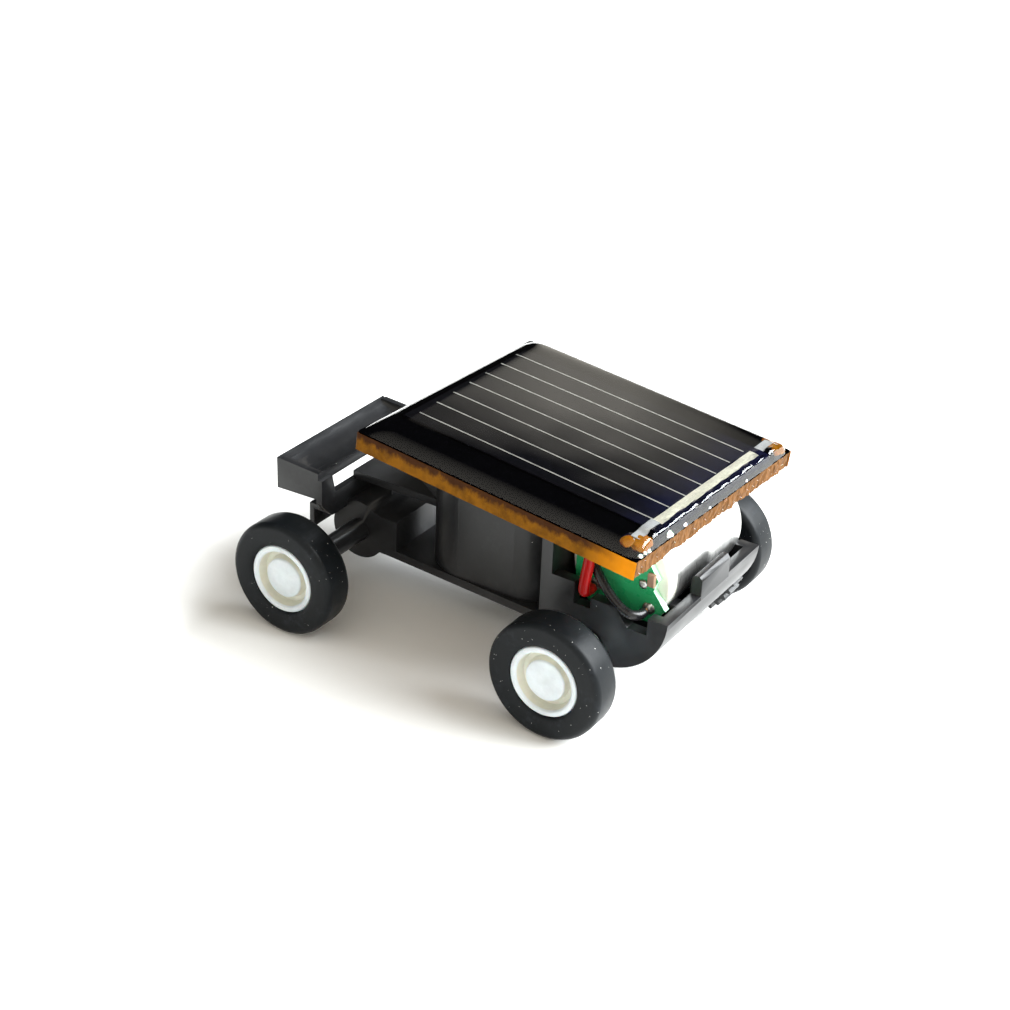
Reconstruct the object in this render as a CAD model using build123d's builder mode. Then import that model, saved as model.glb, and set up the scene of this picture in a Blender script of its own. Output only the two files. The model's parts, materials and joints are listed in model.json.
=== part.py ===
from build123d import *
import os
from math import acos, atan2, cos, degrees, pi, radians, sin, sqrt, tan

# A tiny solar-powered toy car. A solar panel feeds a small motor that lies across the car in a
# round-bottomed tub, and the motor's pinion turns a spur gear on the rear axle.
# Frame: +X forward, +Y left, +Z up, origin on the ground under the middle of the car's outline.
# Lengths are in millimetres and angles in degrees.

# Running gear
wheel_radius = 3.77
wheelbase = 18.9
overall_width = 22.0
tyre_width = 2.22
tyre_bore_radius = 2.26
tyre_shoulder = 0.4
tyre_bead = 0.1
rear_axle_x = -9.085
front_axle_x = rear_axle_x + wheelbase
axle_radius = 0.5
press_gap = 0.01
running_gap = 0.05

# Wheel hub, measured along the axle from the car's middle plane
wheel_outer_y = overall_width / 2
wheel_inner_y = wheel_outer_y - tyre_width
hub_rim_radius = tyre_bore_radius - press_gap
hub_ring_radius = 1.80
hub_cap_radius = 1.32
hub_boss_radius = 0.9
hub_face_y = wheel_outer_y - 0.12
hub_recess_y = wheel_outer_y - 0.80
hub_web = 0.6
hub_rim_bevel = (0.12, 0.15)
hub_ring_bevel = (0.08, 0.1)
hub_draft = 0.06
hub_cap_edge = (0.14, 0.28)
hub_cap_dip = 0.1
tyre_overlap = 0.1
boss_end_y = {"front": 8.3, "rear": 5.85}
boss_gap = 0.1
axle_end_y = hub_recess_y + 0.1

# Chassis tub that holds the motor, a half drum with flat side walls
tub_x = rear_axle_x - 0.6
tub_z = 7.0
tub_radius = 4.4
tub_wall = 0.7
tub_half_width = 5.75
tub_side_wall = 0.75
tub_inner_y = tub_half_width - tub_side_wall
tub_rim_z = 6.8
floor_z = tub_z - tub_radius
floor_top_z = floor_z + 0.55
cheek_x = rear_axle_x + 1.15
cheek_z = 7.5
bulkhead_x = rear_axle_x + 3.55
bulkhead_wall = 0.75

# Rounded pod that carries the panel, and the narrow nose in front of it
pod_rear_x = rear_axle_x + 4.6
pod_front_x = rear_axle_x + 14.3
pod_half_width = 3.3
pod_rear_corner = 2.4
pod_wall = 0.7
floor_rear_half = 3.95
floor_front_half = 2.95
floor_front_x = front_axle_x - 1.5
nose_radius = 2.0
nose_half_width = 3.0
sleeve_radius = 0.75
cross_wall_x = front_axle_x - 2.65
cross_wall_top_z = 5.2
cross_wall_half = 0.3
cross_wall_ledge = 0.9
deck_half_width = 2.1
deck_bottom_z = 6.8
deck_top_z = 7.3
deck_overlap = 1.0
rib_half_width = 0.7
rib_length = 1.8

# Front wing with its end plates, the bar that carries it and the apron under the bar
wing_front_x = rear_axle_x + 23.36
wing_rear_x = rear_axle_x + 20.1
wing_half_span = 5.64
wing_top_z = (8.46, 8.12, 8.26, 8.66)
wing_under_z = (7.95, 7.52, 7.74)
wing_stations = (1.2, 1.5, 2.4)
end_plate_wall = 0.45
end_plate_bottom_z = (6.62, 6.5)
end_plate_corner = 0.3
bar_x = rear_axle_x + 19.8
bar_depth = 0.45
bar_post_z = 8.0
bar_post_width = (1.1, 1.4)
bar_top_z = 6.75
bar_shoulder_z = 6.3
bar_bottom_z = 5.2
bar_chamfer = (0.5, 0.6)
apron_half_width = 4.6
apron_front_x = bar_x + 1.8
apron_wall = 0.35
apron_bottom_z = 3.9

# Fittings of the tub: retaining tab, motor cradle ribs and lead notches
tab_half_width = 1.75
tab_thickness = 0.72
tab_top_z = 8.05
tab_bevel = (0.2, 0.25)
tab_root = 0.3
rib_y = (2.4, -2.6)
rib_half_thickness = 0.45
rib_root = 0.1
rib_top = 0.7
notch_clearance = (0.62, 0.52)
red_notch_z = 6.1
black_notch_z = 5.7
black_notch_back = 0.9
black_notch_front = (0.4, 1.4)

# Gear pair
gear_module = 0.2
pinion_teeth = 8
gear_teeth = 33
pressure_angle = 20
tooth_thinning = 0.12
tooth_addendum = 0.17
tooth_dedendum = 0.25
root_flare = 0.3
flank_steps = 4
gear_inner_y = 6.2
gear_width = 1.2
gear_boss_radius = 1.4
gear_boss_gap = 0.5
pinion_boss_wall = 0.1
pinion_inner_y = 6.1
pinion_width = 1.4

# Motor
centre_distance = gear_module * (pinion_teeth + gear_teeth) / 2
motor_x = tub_x
motor_z = wheel_radius + sqrt(centre_distance**2 - (motor_x - rear_axle_x) ** 2)
can_radius = 3.3
can_wall = 0.3
can_corner = 0.45
can_far_y = -5.6
can_near_y = 2.8
end_cap_near_y = 3.6
end_cap_plug = 0.5
end_cap_step = 0.05
end_cap_corner = 0.2
board_near_y = 4.05
board_corners = (
    (-3.2, 5.4),
    (-3.95, 6.5),
    (-3.1, 7.6),
    (-3.35, 8.35),
    (-2.4, 9.9),
    (0.9, 10.1),
    (2.2, 8.7),
    (2.2, 6.6),
    (1.2, 5.4),
)
chip_at = (-2.95, 8.35)
chip_size = (0.45, 0.8)
chip_height = 0.3
chip_bevel = 0.04
motor_joint_reach = 1.75
bearing_radius = 0.8
bearing_reach = (0.2, 0.3)
shaft_radius = 0.4
shaft_near_y = 3.3
magnet_inner_radius = 2.2
magnet_split = 0.7
magnet_reach = (0.4, 0.6)
armature_radius = 2.0
armature_far_y = -4.0
armature_near_y = 0.4
winding_overhang = 0.4
winding_corner = 0.15
winding_inset = 0.2
slot_count = 3
slot_width = 0.8
slot_inner_radius = 0.75
commutator_radius = 0.75
commutator_y = (0.9, 2.1)
commutator_groove = (0.2, 0.1)
brush_gap = 0.02
brush_width = 1.1
brush_thickness = 0.18
brush_clearance = 0.2

# Solar panel, glued on by hand and a little askew
panel_x = rear_axle_x + 4.82
panel_z = 13.17
panel_pitch = 5.37
panel_roll = 1.35
panel_yaw = -1.76
panel_length = 19.6
panel_width = 18.2
board_thickness = 1.1
board_corner = 0.25
mask_thickness = 0.06
cell_length = 17.5
cell_width = 12.8
cell_thickness = 0.2
cell_offset = (-0.3, -0.15)
finger_count = 7
finger_pitch = 1.81
finger_stagger = 0.08
finger_width = 0.09
finger_height = 0.03
finger_length = 16.6
finger_shift = 0.25
busbar_width = 0.6
busbar_height = 0.05
busbar_length = 11.3
busbar_y = -0.3
ribbon_width = 0.55
ribbon_thickness = 0.1
terminal_left = (-8.6, 7.6)
terminal_right = (-8.7, -8.3)
terminal_window_radius = 0.72
terminal_pin_radius = 0.25
terminal_pin_reach = 0.15
ribbon_lap = 0.2
ribbon_step = (0.1, 0.5)
ribbon_lean = 0.05
dome_height = 0.72
dome_shoulder = 0.62
dome_inset = 0.12
dome_corner = 0.8
pad_thickness = 0.35
cutter_margin = 20
pad_block = 6

# Leads and their soldered joints
lead_radius = 0.34
core_radius = 0.15
solder_radius = 0.5
solder_height = 0.3
solder_corner = 0.2
core_length = 0.25
red_lead_x = rear_axle_x + 0.72
red_lead_y = 5.5
red_lead_z = 6.75
red_bend_radius = 0.55
black_lead_x = rear_axle_x - 2.8
black_lead_y = 5.45
black_lead_z = 6.35
black_drop = (rear_axle_x + 1.3, 4.3, 9.6)
black_bend_radii = [0.9, 0.55]


def side_plane(y):
    """Plane across the car at y, drawn with X to the right and Z up."""
    return Plane.XZ.offset(-y)


def panel_plane(height):
    """Plane parallel to the panel, at a height above the top of its board."""
    turn = Rot(0, 0, panel_yaw) * Rot(0, -panel_pitch, 0) * Rot(panel_roll, 0, 0)
    return Plane(Location((panel_x, 0, panel_z)) * turn).offset(height)


def place_point(x, y, height):
    """Point of the panel, given in the panel's own length, width and height."""
    return panel_plane(0).from_local_coords(Vector(x, y, height))


def involute(angle):
    """Involute function of a pressure angle in radians."""
    return tan(angle) - angle


def gear_outline(teeth, first_tooth, centre):
    """Closed outline of a spur gear whose first tooth points at the angle first_tooth."""
    pitch_radius = gear_module * teeth / 2
    base_radius = pitch_radius * cos(radians(pressure_angle))
    root_radius = pitch_radius - tooth_dedendum
    tip_radius = pitch_radius + tooth_addendum
    flank_start = max(base_radius, root_radius + 0.02)
    half_tooth = pi / (2 * teeth) * (1 - tooth_thinning) + involute(radians(pressure_angle))
    radii = [
        flank_start + (tip_radius - flank_start) * step / flank_steps
        for step in range(flank_steps + 1)
    ]
    flank = [(radius, half_tooth - involute(acos(base_radius / radius))) for radius in radii]
    flank.insert(0, (root_radius, flank[0][1] + root_flare * (pi / teeth - flank[0][1])))
    points = []
    for tooth in range(teeth):
        middle = radians(first_tooth) + 2 * pi * tooth / teeth
        rising = [(radius, middle - half_angle) for radius, half_angle in flank]
        falling = [(radius, middle + half_angle) for radius, half_angle in reversed(flank)]
        for radius, angle in rising + falling:
            points.append((centre[0] + radius * cos(angle), centre[1] + radius * sin(angle)))
    return points


def make_gear(teeth, first_tooth, y_start, width, boss_radius, boss_start, boss_end, bore, at):
    """Spur gear on the car's right side, with a boss and a bore, axis at the point at."""
    with BuildPart() as gear:
        with BuildSketch(side_plane(-y_start)):
            with BuildLine():
                Polyline(*gear_outline(teeth, first_tooth, at), close=True)
            make_face()
        extrude(amount=width)
        with BuildSketch(side_plane(-boss_start)):
            with Locations(at):
                Circle(boss_radius)
        extrude(amount=boss_end - boss_start)
        with BuildSketch(side_plane(-boss_start)):
            with Locations(at):
                Circle(bore)
        extrude(amount=boss_end - boss_start, mode=Mode.SUBTRACT)
    return gear


def make_rod(x, z, radius, y_low, y_high):
    """Round rod along the car's width."""
    with BuildPart() as rod:
        with BuildSketch(side_plane(y_high)):
            with Locations((x, z)):
                Circle(radius)
        extrude(amount=y_high - y_low)
        chamfer(rod.edges().filter_by(GeomType.CIRCLE), radius * 0.2)
    return rod


def make_tyre(axle_x, side):
    """Rubber tyre with a flat tread and rounded shoulders."""
    with BuildPart() as tyre:
        with BuildSketch(Plane((axle_x, 0, wheel_radius), x_dir=(1, 0, 0), z_dir=(0, 0, 1))):
            middle_y = side * (wheel_outer_y - tyre_width / 2)
            with Locations(((tyre_bore_radius + wheel_radius) / 2, middle_y)):
                Rectangle(wheel_radius - tyre_bore_radius, tyre_width)
            fillet(vertices().sort_by(Axis.X)[-2:], tyre_shoulder)
            chamfer(vertices().sort_by(Axis.X)[:2], tyre_bead)
        revolve(axis=Axis((axle_x, 0, wheel_radius), (0, 1, 0)))
    return tyre


def make_hub(axle_x, side, boss_end):
    """Moulded wheel hub: rim ring, recessed web, raised centre and a boss towards the chassis."""
    profile = [
        (axle_radius + press_gap, boss_end),
        (hub_boss_radius, boss_end),
        (hub_boss_radius, hub_recess_y - hub_web),
        (hub_ring_radius, hub_recess_y - hub_web),
        (hub_ring_radius, wheel_inner_y + tyre_overlap),
        (hub_rim_radius, wheel_inner_y + tyre_overlap),
        (hub_rim_radius, hub_face_y - hub_rim_bevel[1]),
        (hub_rim_radius - hub_rim_bevel[0], hub_face_y),
        (hub_ring_radius + hub_ring_bevel[0], hub_face_y),
        (hub_ring_radius, hub_face_y - hub_ring_bevel[1]),
        (hub_ring_radius - hub_draft, hub_recess_y),
        (hub_cap_radius + hub_draft, hub_recess_y),
        (hub_cap_radius, hub_face_y - hub_cap_edge[1]),
        (hub_cap_radius - hub_cap_edge[0], hub_face_y - hub_cap_edge[0]),
        (0, hub_face_y - hub_cap_dip),
        (0, axle_end_y + press_gap),
        (axle_radius + press_gap, axle_end_y + press_gap),
    ]
    with BuildPart() as hub:
        with BuildSketch(Plane((axle_x, 0, wheel_radius), x_dir=(1, 0, 0), z_dir=(0, 0, 1))):
            with BuildLine():
                Polyline(*[(radius, side * y) for radius, y in profile], close=True)
            make_face()
        revolve(axis=Axis((axle_x, 0, wheel_radius), (0, 1, 0)))
    return hub


def make_lead(points, bend_radii):
    """Insulated lead of round section along a path of straight runs and arcs."""
    with BuildPart() as lead:
        with BuildLine() as path:
            FilletPolyline(*points, radius=bend_radii)
        with BuildSketch(Plane(origin=path.line @ 0, z_dir=path.line % 0)):
            Circle(lead_radius)
        sweep()
    return lead


def save(piece, name):
    """Label a finished piece and write its STEP file."""
    piece.part.label = name
    export_step(piece.part, f"parts/{name}.step")


os.makedirs("parts", exist_ok=True)

# ---------------------------------------------------------------- chassis moulding
tub_back_x = tub_x - sqrt(tub_radius**2 - (tub_z - tub_rim_z) ** 2)
arc_middle = (tub_x - tub_radius * cos(pi / 4), tub_z - tub_radius * sin(pi / 4))
cavity_radius = tub_radius - tub_wall
cavity_middle = (tub_x - cavity_radius * cos(pi / 4), tub_z - cavity_radius * sin(pi / 4))
bulkhead_rear_x = bulkhead_x - bulkhead_wall
above_all = panel_z + cutter_margin / 4

with BuildPart() as chassis:
    # Tub, cheeks and bulkhead share one side outline
    with BuildSketch(side_plane(0)):
        with BuildLine():
            ThreePointArc((tub_back_x, tub_rim_z), arc_middle, (tub_x, floor_z))
            Polyline(
                (tub_x, floor_z),
                (bulkhead_x, floor_z),
                (bulkhead_x, above_all),
                (bulkhead_rear_x, above_all),
                (bulkhead_rear_x, cheek_z),
                (cheek_x, cheek_z),
                (cheek_x, tub_rim_z),
                (tub_back_x, tub_rim_z),
            )
        make_face()
    extrude(amount=tub_half_width, both=True)
    with BuildSketch(side_plane(0)):
        with BuildLine():
            ThreePointArc((tub_x - cavity_radius, tub_z), cavity_middle, (tub_x, tub_z - cavity_radius))
            Polyline(
                (tub_x, tub_z - cavity_radius),
                (bulkhead_rear_x, tub_z - cavity_radius),
                (bulkhead_rear_x, above_all),
                (tub_x - cavity_radius, above_all),
                (tub_x - cavity_radius, tub_z),
            )
        make_face()
    extrude(amount=tub_inner_y, both=True, mode=Mode.SUBTRACT)
    # Tapered floor from the tub to the nose
    with BuildSketch(Plane.XY.offset(floor_z)):
        with BuildLine():
            Polyline(
                (bulkhead_x - 0.3, floor_rear_half),
                (floor_front_x, floor_front_half),
                (floor_front_x, -floor_front_half),
                (bulkhead_x - 0.3, -floor_rear_half),
                close=True,
            )
        make_face()
    extrude(amount=floor_top_z - floor_z)
    # Pod walls
    with BuildSketch(Plane.XY.offset(floor_z)):
        with Locations(((pod_rear_x + pod_front_x) / 2, 0)):
            Rectangle(pod_front_x - pod_rear_x, 2 * pod_half_width)
        fillet(vertices().sort_by(Axis.X)[-2:], pod_half_width - 0.02)
        fillet(vertices().sort_by(Axis.X)[:2], pod_rear_corner)
    extrude(amount=above_all - floor_z)
    # Nose: axle tube with thinner bearing sleeves, cross wall and top skin
    with BuildSketch(side_plane(0)):
        with Locations((front_axle_x, wheel_radius)):
            Circle(nose_radius)
    extrude(amount=nose_half_width, both=True)
    with BuildSketch(side_plane(0)):
        with Locations((front_axle_x, wheel_radius)):
            Circle(sleeve_radius)
    extrude(amount=boss_end_y["front"] - boss_gap, both=True)
    with BuildSketch(side_plane(0)):
        with BuildLine():
            Polyline(
                (cross_wall_x - cross_wall_half, floor_z),
                (cross_wall_x - cross_wall_half, cross_wall_top_z),
                (cross_wall_x + cross_wall_ledge, cross_wall_top_z),
                (front_axle_x, wheel_radius + nose_radius - 0.05),
                (front_axle_x, wheel_radius),
                (front_axle_x - 0.7 * nose_radius, floor_z),
                close=True,
            )
        make_face()
    extrude(amount=nose_half_width, both=True)
    # Deck above the nose, its rib, and the cross bar that carries the wing
    with BuildSketch(Plane.XY.offset(deck_bottom_z)):
        with Locations(((pod_front_x - deck_overlap + bar_x + bar_depth / 2) / 2, 0)):
            Rectangle(bar_x + bar_depth / 2 - pod_front_x + deck_overlap, 2 * deck_half_width)
    extrude(amount=deck_top_z - deck_bottom_z)
    with BuildSketch(side_plane(0)):
        with Locations((front_axle_x, (deck_bottom_z + cross_wall_top_z) / 2)):
            Rectangle(rib_length, deck_bottom_z - cross_wall_top_z + 0.4)
    extrude(amount=rib_half_width, both=True)
    with BuildSketch(Plane.YZ.offset(bar_x)):
        with BuildLine():
            Polyline(
                (wing_half_span, bar_post_z),
                (wing_half_span, bar_shoulder_z),
                (wing_half_span - bar_chamfer[0], bar_shoulder_z - bar_chamfer[1]),
                (apron_half_width, bar_bottom_z),
                (-apron_half_width, bar_bottom_z),
                (-wing_half_span + bar_chamfer[0], bar_shoulder_z - bar_chamfer[1]),
                (-wing_half_span, bar_shoulder_z),
                (-wing_half_span, bar_post_z),
                (-wing_half_span + bar_post_width[0], bar_post_z),
                (-wing_half_span + bar_post_width[1], bar_top_z),
                (wing_half_span - bar_post_width[1], bar_top_z),
                (wing_half_span - bar_post_width[0], bar_post_z),
                close=True,
            )
        make_face()
    extrude(amount=bar_depth)
    with BuildSketch(side_plane(0)):
        with BuildLine():
            Polyline(
                (bar_x, bar_bottom_z),
                (bar_x, bar_bottom_z + apron_wall),
                (apron_front_x, bar_bottom_z + apron_wall),
                (apron_front_x, apron_bottom_z),
                (apron_front_x - apron_wall, apron_bottom_z),
                (apron_front_x - apron_wall, bar_bottom_z),
                close=True,
            )
        make_face()
    extrude(amount=apron_half_width, both=True)
    # Wing blade with a hollowed top, then its end plates
    with BuildSketch(side_plane(0)):
        with BuildLine():
            Spline(
                (wing_rear_x, wing_top_z[0]),
                (wing_rear_x + wing_stations[0], wing_top_z[1]),
                (wing_rear_x + wing_stations[2], wing_top_z[2]),
                (wing_front_x, wing_top_z[3]),
            )
            Line((wing_front_x, wing_top_z[3]), (wing_front_x, wing_under_z[0]))
            Spline(
                (wing_front_x, wing_under_z[0]),
                (wing_rear_x + wing_stations[1], wing_under_z[1]),
                (wing_rear_x, wing_under_z[2]),
            )
            Line((wing_rear_x, wing_under_z[2]), (wing_rear_x, wing_top_z[0]))
        make_face()
    extrude(amount=wing_half_span, both=True)
    for side in (1, -1):
        with BuildSketch(side_plane(side * (wing_half_span - end_plate_wall / 2))):
            with BuildLine():
                Polyline(
                    (wing_rear_x, wing_top_z[0]),
                    (wing_rear_x, end_plate_bottom_z[0]),
                    (wing_front_x, end_plate_bottom_z[1]),
                    (wing_front_x, wing_top_z[3]),
                    close=True,
                )
            make_face()
            fillet(vertices().sort_by(Axis.Z)[:2], end_plate_corner)
        extrude(amount=end_plate_wall / 2, both=True)
    # Pod cavity, open at the top
    with BuildSketch(Plane.XY.offset(floor_top_z)):
        with Locations(((pod_rear_x + pod_front_x) / 2, 0)):
            Rectangle(pod_front_x - pod_rear_x - 2 * pod_wall, 2 * (pod_half_width - pod_wall))
        fillet(vertices().sort_by(Axis.X)[-2:], pod_half_width - pod_wall - 0.02)
        fillet(vertices().sort_by(Axis.X)[:2], pod_rear_corner - pod_wall)
    extrude(amount=above_all - floor_top_z, mode=Mode.SUBTRACT)
    # Everything under the panel ends where the foam pads begin
    with BuildSketch(panel_plane(-board_thickness - pad_thickness)):
        Rectangle(panel_length + cutter_margin, panel_width + cutter_margin)
    extrude(amount=cutter_margin, mode=Mode.SUBTRACT)
    # Retaining tab on the tub's rear wall
    with BuildSketch(side_plane(0)):
        with BuildLine():
            Polyline(
                (tub_back_x, tub_rim_z - tab_root),
                (tub_back_x, tab_top_z - tab_bevel[1]),
                (tub_back_x + tab_bevel[0], tab_top_z),
                (tub_back_x + tab_thickness - tab_bevel[0], tab_top_z),
                (tub_back_x + tab_thickness, tab_top_z - tab_bevel[1]),
                (tub_back_x + tab_thickness, tub_rim_z - tab_root),
                close=True,
            )
        make_face()
    extrude(amount=tab_half_width, both=True)
    # Ribs that cradle the motor can
    for rib_middle_y in rib_y:
        with BuildSketch(side_plane(rib_middle_y)):
            with BuildLine():
                ThreePointArc(
                    (tub_x - cavity_radius - rib_root, tub_z - rib_top),
                    (cavity_middle[0] - rib_root, cavity_middle[1] - rib_root),
                    (tub_x, tub_z - cavity_radius - rib_root),
                )
                Polyline(
                    (tub_x, tub_z - cavity_radius - rib_root),
                    (bulkhead_rear_x + rib_root, tub_z - cavity_radius - rib_root),
                    (bulkhead_rear_x + rib_root, tub_z - rib_top),
                    (tub_x - cavity_radius - rib_root, tub_z - rib_top),
                )
            make_face()
            with Locations((motor_x, motor_z)):
                Circle(can_radius + press_gap, mode=Mode.SUBTRACT)
        extrude(amount=rib_half_thickness, both=True)
    # Seat for the can's far end in the right wall
    with BuildSketch(side_plane(-tub_inner_y + 0.1)):
        with Locations((motor_x, motor_z)):
            Circle(can_radius + press_gap)
    extrude(amount=tub_side_wall + 0.2, mode=Mode.SUBTRACT)
    # Axle bores, and a slot above the rear axle so that the motor ribs clear it
    for axle_x in (rear_axle_x, front_axle_x):
        with BuildSketch(side_plane(0)):
            with Locations((axle_x, wheel_radius)):
                Circle(axle_radius + running_gap)
        extrude(amount=overall_width / 2, both=True, mode=Mode.SUBTRACT)
    with BuildSketch(side_plane(0)):
        with Locations((rear_axle_x, wheel_radius + 0.5)):
            Rectangle(2 * (axle_radius + running_gap), 1.0)
    extrude(amount=tub_inner_y, both=True, mode=Mode.SUBTRACT)
    # Notches in the left wall for the red lead and, with one slanted side, the black lead
    with BuildSketch(side_plane(tub_half_width + 0.1)):
        with BuildLine():
            Polyline(
                (red_lead_x - notch_clearance[0], red_notch_z),
                (red_lead_x + notch_clearance[1], red_notch_z),
                (red_lead_x + notch_clearance[1], cheek_z + 0.2),
                (red_lead_x - notch_clearance[0], cheek_z + 0.2),
                close=True,
            )
        make_face()
        with BuildLine():
            Polyline(
                (black_lead_x - black_notch_back, black_notch_z),
                (black_lead_x + black_notch_front[0], black_notch_z),
                (black_lead_x + black_notch_front[1], tub_rim_z + 0.2),
                (black_lead_x - black_notch_back, tub_rim_z + 0.2),
                close=True,
            )
        make_face()
    extrude(amount=tub_side_wall + 0.2, mode=Mode.SUBTRACT)
save(chassis, "chassis")

# ---------------------------------------------------------------- wheels and axles
for end, axle_x in (("front", front_axle_x), ("rear", rear_axle_x)):
    save(make_rod(axle_x, wheel_radius, axle_radius, -axle_end_y, axle_end_y), f"{end}_axle")
    for side_name, side in (("left", 1), ("right", -1)):
        save(make_tyre(axle_x, side), f"{end}_{side_name}_tyre")
        save(make_hub(axle_x, side, boss_end_y[end]), f"{end}_{side_name}_hub")

# ---------------------------------------------------------------- gear pair
centre_angle = degrees(atan2(motor_z - wheel_radius, motor_x - rear_axle_x))
axle_gear = make_gear(
    gear_teeth,
    centre_angle + 180 / gear_teeth,
    gear_inner_y,
    gear_width,
    gear_boss_radius,
    boss_end_y["rear"] + boss_gap,
    wheel_inner_y - gear_boss_gap,
    hub_boss_radius + press_gap,
    (rear_axle_x, wheel_radius),
)
save(axle_gear, "axle_gear")
pinion = make_gear(
    pinion_teeth,
    centre_angle + 180,
    pinion_inner_y,
    pinion_width,
    shaft_radius + pinion_boss_wall,
    pinion_inner_y,
    pinion_inner_y + pinion_width,
    shaft_radius + press_gap,
    (motor_x, motor_z),
)
save(pinion, "motor_pinion")

# ---------------------------------------------------------------- motor
with BuildPart() as motor_can:
    with BuildSketch(side_plane(can_near_y)):
        with Locations((motor_x, motor_z)):
            Circle(can_radius)
    extrude(amount=can_near_y - can_far_y)
    fillet(motor_can.faces().sort_by(Axis.Y)[0].edges(), can_corner)
    with BuildSketch(side_plane(can_near_y)):
        with Locations((motor_x, motor_z)):
            Circle(can_radius - can_wall)
    extrude(amount=can_near_y - can_far_y - can_wall, mode=Mode.SUBTRACT)
    with BuildSketch(side_plane(can_far_y + can_wall)):
        with Locations((motor_x, motor_z)):
            Circle(bearing_radius + press_gap)
    extrude(amount=2 * can_wall, mode=Mode.SUBTRACT)
save(motor_can, "motor_can")

with BuildPart() as motor_end_cap:
    with BuildSketch(side_plane(end_cap_near_y)):
        with Locations((motor_x, motor_z)):
            Circle(can_radius - end_cap_step)
    extrude(amount=end_cap_near_y - can_near_y)
    with BuildSketch(side_plane(can_near_y)):
        with Locations((motor_x, motor_z)):
            Circle(can_radius - can_wall - press_gap)
    extrude(amount=end_cap_plug)
    with BuildSketch(side_plane(end_cap_near_y)):
        with Locations((motor_x, motor_z)):
            Circle(shaft_radius + 2 * running_gap)
    extrude(amount=end_cap_near_y - can_near_y + 2 * end_cap_plug, mode=Mode.SUBTRACT)
    cap_edge = motor_end_cap.faces().sort_by(Axis.Y)[-1].edges().sort_by(SortBy.LENGTH)[-1]
    fillet(cap_edge, end_cap_corner)
save(motor_end_cap, "motor_end_cap")

with BuildPart() as motor_bearing:
    with BuildSketch(side_plane(can_far_y + can_wall + bearing_reach[0])):
        with Locations((motor_x, motor_z)):
            Circle(bearing_radius)
            Circle(shaft_radius + running_gap, mode=Mode.SUBTRACT)
    extrude(amount=can_wall + sum(bearing_reach))
save(motor_bearing, "motor_bearing")

with BuildPart() as motor_magnet:
    with BuildSketch(side_plane(armature_near_y + magnet_reach[1])):
        with Locations((motor_x, motor_z)):
            Circle(can_radius - can_wall - press_gap)
            Circle(magnet_inner_radius, mode=Mode.SUBTRACT)
            Rectangle(magnet_split, 2 * can_radius, mode=Mode.SUBTRACT)
    extrude(amount=armature_near_y - armature_far_y + sum(magnet_reach))
save(motor_magnet, "motor_magnets")

shaft_far_y = -(pinion_inner_y + pinion_width)
save(make_rod(motor_x, motor_z, shaft_radius, shaft_far_y, shaft_near_y), "motor_shaft")

with BuildPart() as armature_core:
    with BuildSketch(side_plane(armature_near_y)):
        with Locations((motor_x, motor_z)):
            Circle(armature_radius)
            with PolarLocations((slot_inner_radius + armature_radius) / 2, slot_count, start_angle=30):
                Rectangle(armature_radius - slot_inner_radius + 0.1, slot_width, mode=Mode.SUBTRACT)
            Circle(shaft_radius + press_gap, mode=Mode.SUBTRACT)
    extrude(amount=armature_near_y - armature_far_y)
save(armature_core, "armature_core")

with BuildPart() as armature_windings:
    with BuildSketch(side_plane(armature_near_y + winding_overhang)):
        with Locations((motor_x, motor_z)):
            with PolarLocations((slot_inner_radius + armature_radius) / 2, slot_count, start_angle=30):
                Rectangle(armature_radius - slot_inner_radius - winding_inset, slot_width - 2 * press_gap)
    extrude(amount=armature_near_y - armature_far_y + 2 * winding_overhang)
    fillet(armature_windings.edges().filter_by(Axis.Y), winding_corner)
save(armature_windings, "armature_windings")

with BuildPart() as commutator:
    with BuildSketch(side_plane(commutator_y[1])):
        with Locations((motor_x, motor_z)):
            Circle(commutator_radius)
            Circle(shaft_radius + press_gap, mode=Mode.SUBTRACT)
            with PolarLocations(commutator_radius, slot_count, start_angle=90):
                Rectangle(*commutator_groove, mode=Mode.SUBTRACT)
    extrude(amount=commutator_y[1] - commutator_y[0])
save(commutator, "commutator")

with BuildPart() as motor_brushes:
    with BuildSketch(side_plane(can_near_y - end_cap_plug)):
        for side in (1, -1):
            brush_offset = commutator_radius + brush_gap + brush_thickness / 2
            with Locations((motor_x, motor_z + side * brush_offset)):
                Rectangle(brush_width, brush_thickness)
    extrude(amount=can_near_y - end_cap_plug - commutator_y[0] - brush_clearance)
save(motor_brushes, "motor_brushes")

# ---------------------------------------------------------------- motor terminal board
with BuildPart() as terminal_board:
    with BuildSketch(side_plane(board_near_y)):
        with BuildLine():
            Polyline(*[(rear_axle_x + x, z) for x, z in board_corners], close=True)
        make_face()
    extrude(amount=board_near_y - end_cap_near_y)
save(terminal_board, "terminal_board")

with BuildPart() as board_chip:
    with BuildSketch(side_plane(board_near_y + chip_height)):
        with Locations((rear_axle_x + chip_at[0], chip_at[1])):
            Rectangle(*chip_size)
    extrude(amount=chip_height)
    chamfer(board_chip.faces().sort_by(Axis.Y)[-1].edges(), chip_bevel)
save(board_chip, "board_chip")

lead_joints = ((red_lead_x, red_lead_z), (black_lead_x, black_lead_z))
motor_joints = [(motor_x + side * motor_joint_reach, motor_z + 0.25 + side * 0.25) for side in (-1, 1)]
with BuildPart() as board_solder:
    with BuildSketch(side_plane(board_near_y + solder_height)):
        with Locations(*lead_joints, *motor_joints):
            Circle(solder_radius)
    extrude(amount=solder_height)
    fillet(board_solder.faces().filter_by(Axis.Y).group_by(Axis.Y)[-1].edges(), solder_corner)
save(board_solder, "board_solder")

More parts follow.
